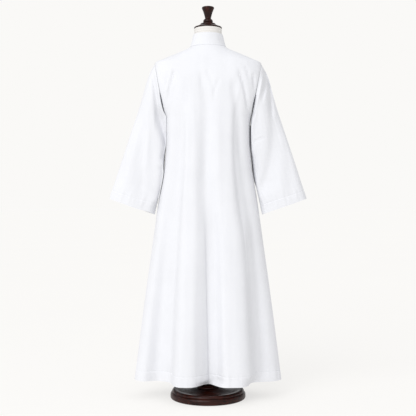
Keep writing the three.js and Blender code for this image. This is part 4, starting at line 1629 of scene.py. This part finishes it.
    def build(self) -> None:
        """Makes the sleeve, its cuff and its stitches."""
        around = np.linspace(360, 0, self.columns, endpoint=False)[None, :]
        lengths = self.lengths(around)
        from_cuff = self.rows_from_cuff(lengths)
        along = np.clip(1 - from_cuff / lengths, 0, 1)
        around = around + 0 * along
        from_seam = along * lengths
        folds = self.fold_press(along, around) * smoothstep(from_seam, 0, self.fold_hold)
        points = self.point(along, around, folds)
        points[..., 1] *= 1 - ARMHOLE_SLITS[self.side].share(points[..., 2], from_seam)
        self.lean_on_body(points, along, around)
        seam = self.seam_ditch * bell(from_seam, self.seam_width)
        fine = self.fine_press(along, around, from_cuff) + seam
        fine = fine + self.cuff.press(from_cuff, distances(points[-1])[None, :])
        points = points - grid_normals(points, True) * fine[..., None]
        clear = np.array([TIP_Z - UNDERARM_Z, 0, UNDERARM_X - TIP_X])
        points[0] += clear / np.linalg.norm(clear) * SEAM
        if self.side is Side.RIGHT:
            points[..., 0] *= -1
            points = points[:, ::-1]
        shell, faces = cloth_shell(points, self.cuff.thickness(from_cuff[:, 0]), True)
        name = f"sleeve_{self.side.label}"
        piece = mesh_piece(f"{name}_cloth", shell, faces, self.cloth, CRISP_CLOTH)
        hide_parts(name)
        line = line_of(points, True, self.cuff.stitch_row(from_cuff[:, 0]))
        self.stitching.piece(f"stitches_cuff_{self.side.label}", [line], self.thread)


# ---------- the dress form and its stand ----------
TOOL_STEP = 1.4  # a turned curve has a ring of points for each such length of it
MOST_STEPS = 28


def turned_piece(
    name: str, runs: tuple[tuple[tuple[float, float], ...], ...], sides: int, material: bpy.types.Material
) -> None:
    """Makes a piece turned on a lathe, about the part's own axis.

    Args:
        name: the node that the piece stands for; its own name ends with _turned.
        runs: the profile from the axis at the bottom to the axis at the top, as radius and height:
            each run is one smooth stroke of the tool, and two runs meet in a crisp corner.
        sides: how many flats go round it.
        material: its finish.
    """
    profile: list[tuple[float, float]] = []
    for run in runs:
        knots = np.array(run, float)
        lengths = distances(knots)
        count = max(2, min(MOST_STEPS, int(lengths[-1] / TOOL_STEP))) if len(run) > 2 else 4
        at = np.linspace(0, lengths[-1], count + 1)
        radius, height = (Profile(lengths, knots[:, k])(at) for k in (0, 1))
        profile += list(zip(radius, height))[1 if profile else 0 :]
    rim = [spot for spot in profile if spot[0] > 1e-6]
    points = around_axis(rim, sides)
    bottom, top, last = len(points), len(points) + 1, (len(rim) - 1) * sides
    points += [(0, 0, profile[0][1]), (0, 0, profile[-1][1])]
    faces = grid_faces(len(rim), sides, 0, True, False)
    for n in range(sides):
        faces.append((bottom, (n + 1) % sides, n))
        faces.append((top, last + n, last + (n + 1) % sides))
    piece = mesh_piece(f"{name}_turned", np.array(points), faces, material, CRISP_TURNED)
    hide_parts(name)


@dataclass(frozen=True)
class FormRing:
    """A level section of the torso."""

    z: float
    side: float
    back: float
    front: float


@dataclass
class DressForm:
    """The linen-covered torso with its neck cap and finial."""

    form: BodyForm
    linen: bpy.types.Material
    wood: bpy.types.Material
    columns: int = 120
    torso_rows: int = 40
    sides: int = 96
    neck_top: float = 1620.0
    cap_top: float = 1643.5
    neck: tuple[tuple[float, float, float], ...] = (
        (1620, 58.5, 0), (1619.4, 59.9, 0), (1618, 60.5, 0), (1609.5, 60.6, 0.05), (1608, 59.7, 0.08),
        (1606.5, 60.6, 0.1), (1598.5, 60.5, 0.2), (1597, 59.7, 0.22), (1595.5, 60.5, 0.25),
        (1588, 60.5, 0.35), (1574, 60.7, 0.55), (1560, 61, 0.75), (1543, 63.2, 1),
    )  # height, radius, and share of the neckline's drop at the front; two seams run round it
    shoulder_heights: tuple[float, ...] = (1536, 1530, 1523, 1515, 1508, 1500, 1493, 1487, 1481)
    lap_zone: tuple[float, float] = (0.25, 0.74)  # front shares between which it makes room for the lap
    torso: tuple[FormRing, ...] = (
        FormRing(1452, 206, 98, 104),
        FormRing(1430, 206, 102, 109),
        FormRing(1390, 200, 107, 115),
        FormRing(1320, 187, 112, 120),
        FormRing(1250, 172, 111, 119),
        FormRing(1160, 158, 101, 108),
        FormRing(1070, 148, 92, 98),
        FormRing(970, 157, 94, 101),
        FormRing(880, 165, 93, 98),
        FormRing(806, 160, 88, 92),
        FormRing(800, 154, 82, 86),
    )

    def shoulder_row(self, ring: Array, z: float) -> Array:
        """A row of the shoulders, which lies just inside the cloth that rests on them.

        Args:
            ring: the ring angles of its points.
            z: the height of the neck's or shoulder's ring.

        Returns:
            The points, in mm.
        """
        on = self.form.point(ring, z)
        across = self.form.point(ring + 1, z) - self.form.point(ring - 1, z)
        down = self.form.point(ring, z - 2) - self.form.point(ring, z + 2)
        normal = np.cross(across, down)
        normal = normal / np.linalg.norm(normal, axis=1, keepdims=True)
        under_lap = UNDER * smoothstep(self.form.front_share(ring), *self.lap_zone)
        return on - normal * (CLOTH + REST + under_lap)[:, None]

    def build_torso(self) -> None:
        """Makes the torso, from the top of its neck to its underside."""
        ring = np.linspace(-180, 180, self.columns, endpoint=False)
        drop = FRONT_NECK_DROP * self.form.front_share(ring)
        rows = [plain_oval(ring, z - lean * drop, radius, radius, radius) for z, radius, lean in self.neck]
        rows += [self.shoulder_row(ring, z) for z in self.shoulder_heights]
        curves = curves_of(self.torso, "z", ("side", "back", "front"))
        z = column(self.torso, "z")
        levels = np.unique(np.concatenate([np.linspace(z[-2], z[0], self.torso_rows), z]))[::-1]
        rows += [plain_oval(ring, level, *(curve(level) for curve in curves)) for level in levels]
        faces = capped_faces(len(rows), self.columns, 0)
        points = np.array(rows).reshape(-1, 3)
        piece = mesh_piece("form_torso_linen", points, faces, self.linen, CRISP_LINEN)
        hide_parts("form_torso")

    def build_cap(self) -> None:
        """Turns the cap that closes the neck, and the finial on it."""
        foot = self.neck_top + SEAM
        turned_piece(
            "form_neck_cap",
            (
                ((0, foot), (59, foot)),
                ((59, foot), (60.8, 1621), (61.5, 1622.5), (61.3, 1624.3), (60, 1626)),
                ((60, 1626), (54, 1628.2), (48, 1631), (41, 1634.3), (36, 1637)),
                ((36, 1637), (34.6, 1637.6), (34, 1639.5), (33.6, 1641), (32.5, 1642)),
                ((32.5, 1642), (18, self.cap_top)),
                ((18, self.cap_top), (0, self.cap_top)),
            ),
            self.sides,
            self.wood,
        )
        foot = self.cap_top + SEAM
        turned_piece(
            "form_finial",
            (
                ((0, foot), (14, foot)),
                ((14, foot), (19, 1645.5), (21.5, 1652), (19, 1659), (13.2, 1664)),
                ((13.2, 1664), (13.0, 1666), (13.6, 1669)),
                ((13.6, 1669), (18.5, 1688), (25.6, 1707)),
                ((25.6, 1707), (26.9, 1709), (27, 1711), (26.8, 1713.4), (25.5, 1715)),
                ((25.5, 1715), (20, 1716.8), (14, 1717.5), (0, 1718)),
            ),
            self.sides,
            self.wood,
        )


@dataclass
class Stand:
    """The pole, its hub and the round foot."""

    wood: bpy.types.Material
    steel: bpy.types.Material
    sides: int = 128
    foot_top: float = 43.0
    hub_top: float = 76.0
    pole_sides: int = 48
    pole_radius: float = 16.0
    pole_to: float = 799.7
    pole_bevel: float = 0.6

    def build_foot(self) -> None:
        """Turns the foot and the hub on it."""
        turned_piece(
            "stand_foot",
            (
                ((0, 0), (158, 0)),
                ((158, 0), (161.5, 0.8), (164, 3), (165, 6)),
                ((165, 6), (165, 14)),
                ((165, 14), (164.6, 18.2), (163.2, 21.8), (160.6, 25), (157, 27)),
                ((157, 27), (157.4, 28.4), (158, 30), (157, 33.4), (155, 36), (152, 38.6), (148, 39.5)),
                (
                    (148, 39.5), (140, 38.6), (130, 37.5), (108, 37.3), (84, 38.5), (70, 40.2),
                    (58, self.foot_top),
                ),
                ((58, self.foot_top), (0, self.foot_top)),
            ),
            self.sides,
            self.wood,
        )
        foot = self.foot_top + SEAM
        turned_piece(
            "stand_hub",
            (
                ((0, foot), (47, foot)),
                ((47, foot), (48.3, 45), (48.5, 47), (48, 49.6), (46, 52)),
                ((46, 52), (40.5, 57), (36, 62), (31, 66), (25, 69)),
                ((25, 69), (24, 72.5), (21, self.hub_top)),
                ((21, self.hub_top), (0, self.hub_top)),
            ),
            self.sides,
            self.wood,
        )

    def build_pole(self) -> None:
        """Makes the steel tube that carries the torso."""
        bottom = self.hub_top + SEAM
        inner, bevel = self.pole_radius - self.pole_bevel, self.pole_bevel
        lower = [(inner, bottom), (self.pole_radius, bottom + bevel)]
        upper = [(self.pole_radius, self.pole_to - bevel), (inner, self.pole_to)]
        points = around_axis(lower + upper, self.pole_sides)
        faces = capped_faces(len(lower + upper), self.pole_sides, 0)
        piece = mesh_piece("stand_pole_tube", np.array(points), faces, self.steel, CRISP_TURNED)
        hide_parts("stand_pole")


# ---------- the studio ----------
@dataclass
class Studio:
    """The camera, a plain pale floor, and soft light from high on the wearer's left."""

    distance: float = 3.5
    eye_height: float = 0.832
    scale: float = 4.4  # mm that a pixel covers at the part's axis
    pixels: int = 416
    sensor: float = 36.0
    backdrop: str = "#faf9f7"
    floor_reach: float = 400.0
    floor_sides: int = 64
    fill: float = 0.79
    fill_colour: str = "#fefeff"
    key: float = 1.34
    key_spread: float = 55.0  # degrees across the key light
    key_towards: tuple[float, float, float] = (-0.4, -0.74, -0.54)
    softbox_at: tuple[float, float, float] = (1.5, 3.0, 2.3)
    softbox_aim: tuple[float, float, float] = (0, 0, 0.8)
    softbox_size: tuple[float, float] = (0.5, 0.8)
    softbox_power: float = 10.0

    def build_camera(self) -> None:
        """Sets the camera behind the garment, at the height of its middle."""
        data = bpy.data.cameras.new("camera")
        data.sensor_width = self.sensor
        half = self.pixels / 2 * self.scale * MM / self.distance
        data.lens = data.sensor_width / 2 / half
        camera = add_object("camera", data)
        camera.location = (0, self.distance, self.eye_height)
        camera.rotation_euler = (np.pi / 2, 0, np.pi)
        bpy.context.scene.camera = camera

    def build_floor(self) -> None:
        """Lays the floor, a disc that reaches past all that the camera sees."""
        mesh = bpy.data.meshes.new("floor")
        disc = around_axis([(self.floor_reach, 0.0)], self.floor_sides)
        mesh.from_pydata(disc, [], [tuple(range(self.floor_sides))])
        mesh.materials.append(OpalAcrylic().material())
        floor = add_object("floor", mesh)

    def build_light(self) -> None:
        """Sets a wide soft key light, and an even fill from all round."""
        sun = bpy.data.lights.new("key_light", "SUN")
        sun.energy = self.key
        sun.angle = np.radians(self.key_spread)
        lamp = add_object("key_light", sun)
        lamp.rotation_euler = Vector(self.key_towards).to_track_quat("-Z", "Y").to_euler()
        box = bpy.data.lights.new("softbox", "AREA")
        box.shape = "RECTANGLE"
        box.size, box.size_y = self.softbox_size
        box.energy = self.softbox_power
        softbox = add_object("softbox", box)
        softbox.location = self.softbox_at
        aim = Vector(self.softbox_aim) - softbox.location
        softbox.rotation_euler = aim.to_track_quat("-Z", "Y").to_euler()
        world = bpy.data.worlds.new("studio")
        world.use_nodes = True
        tree = world.node_tree
        tree.nodes.clear()
        backdrop = {"Color": linear(self.backdrop), "Strength": 1.0}
        fill = {"Color": linear(self.fill_colour), "Strength": self.fill}
        seen, lit = (add_node(tree, "ShaderNodeBackground", light) for light in (backdrop, fill))
        is_seen = add_node(tree, "ShaderNodeLightPath").outputs["Is Camera Ray"]
        both = {0: is_seen, 1: lit.outputs[0], 2: seen.outputs[0]}
        mix = add_node(tree, "ShaderNodeMixShader", {}, both)
        add_node(tree, "ShaderNodeOutputWorld", {}, {"Surface": mix.outputs[0]})
        bpy.context.scene.world = world


def main() -> None:
    """Builds the studio, the cassock and the dress form in order."""
    logging.basicConfig(level=logging.INFO, format="%(message)s")
    studio = Studio()
    studio.build_camera()
    studio.build_floor()
    studio.build_light()
    bpy.context.scene.view_settings.view_transform = "Standard"

    cloth, thread = CottonTwill().material(), SewingThread().material()
    form = BodyForm()
    body = CassockBody(form, cloth, thread)
    back = body.back()
    left, right = body.front(Side.LEFT), body.front(Side.RIGHT)
    body.sew(back, left, right)
    BandCollar(cloth, thread).build()
    for side in Side:
        BellSleeve(side, cloth, thread, form).build()

    upright = StainedBeech(Grain.UPRIGHT).material()
    dress_form = DressForm(form, LinenJersey().material(), upright)
    dress_form.build_torso()
    dress_form.build_cap()
    stand = Stand(StainedBeech(Grain.LEVEL).material(), EnamelledSteel().material())
    stand.build_foot()
    stand.build_pole()


if __name__ == "__main__":
    main()
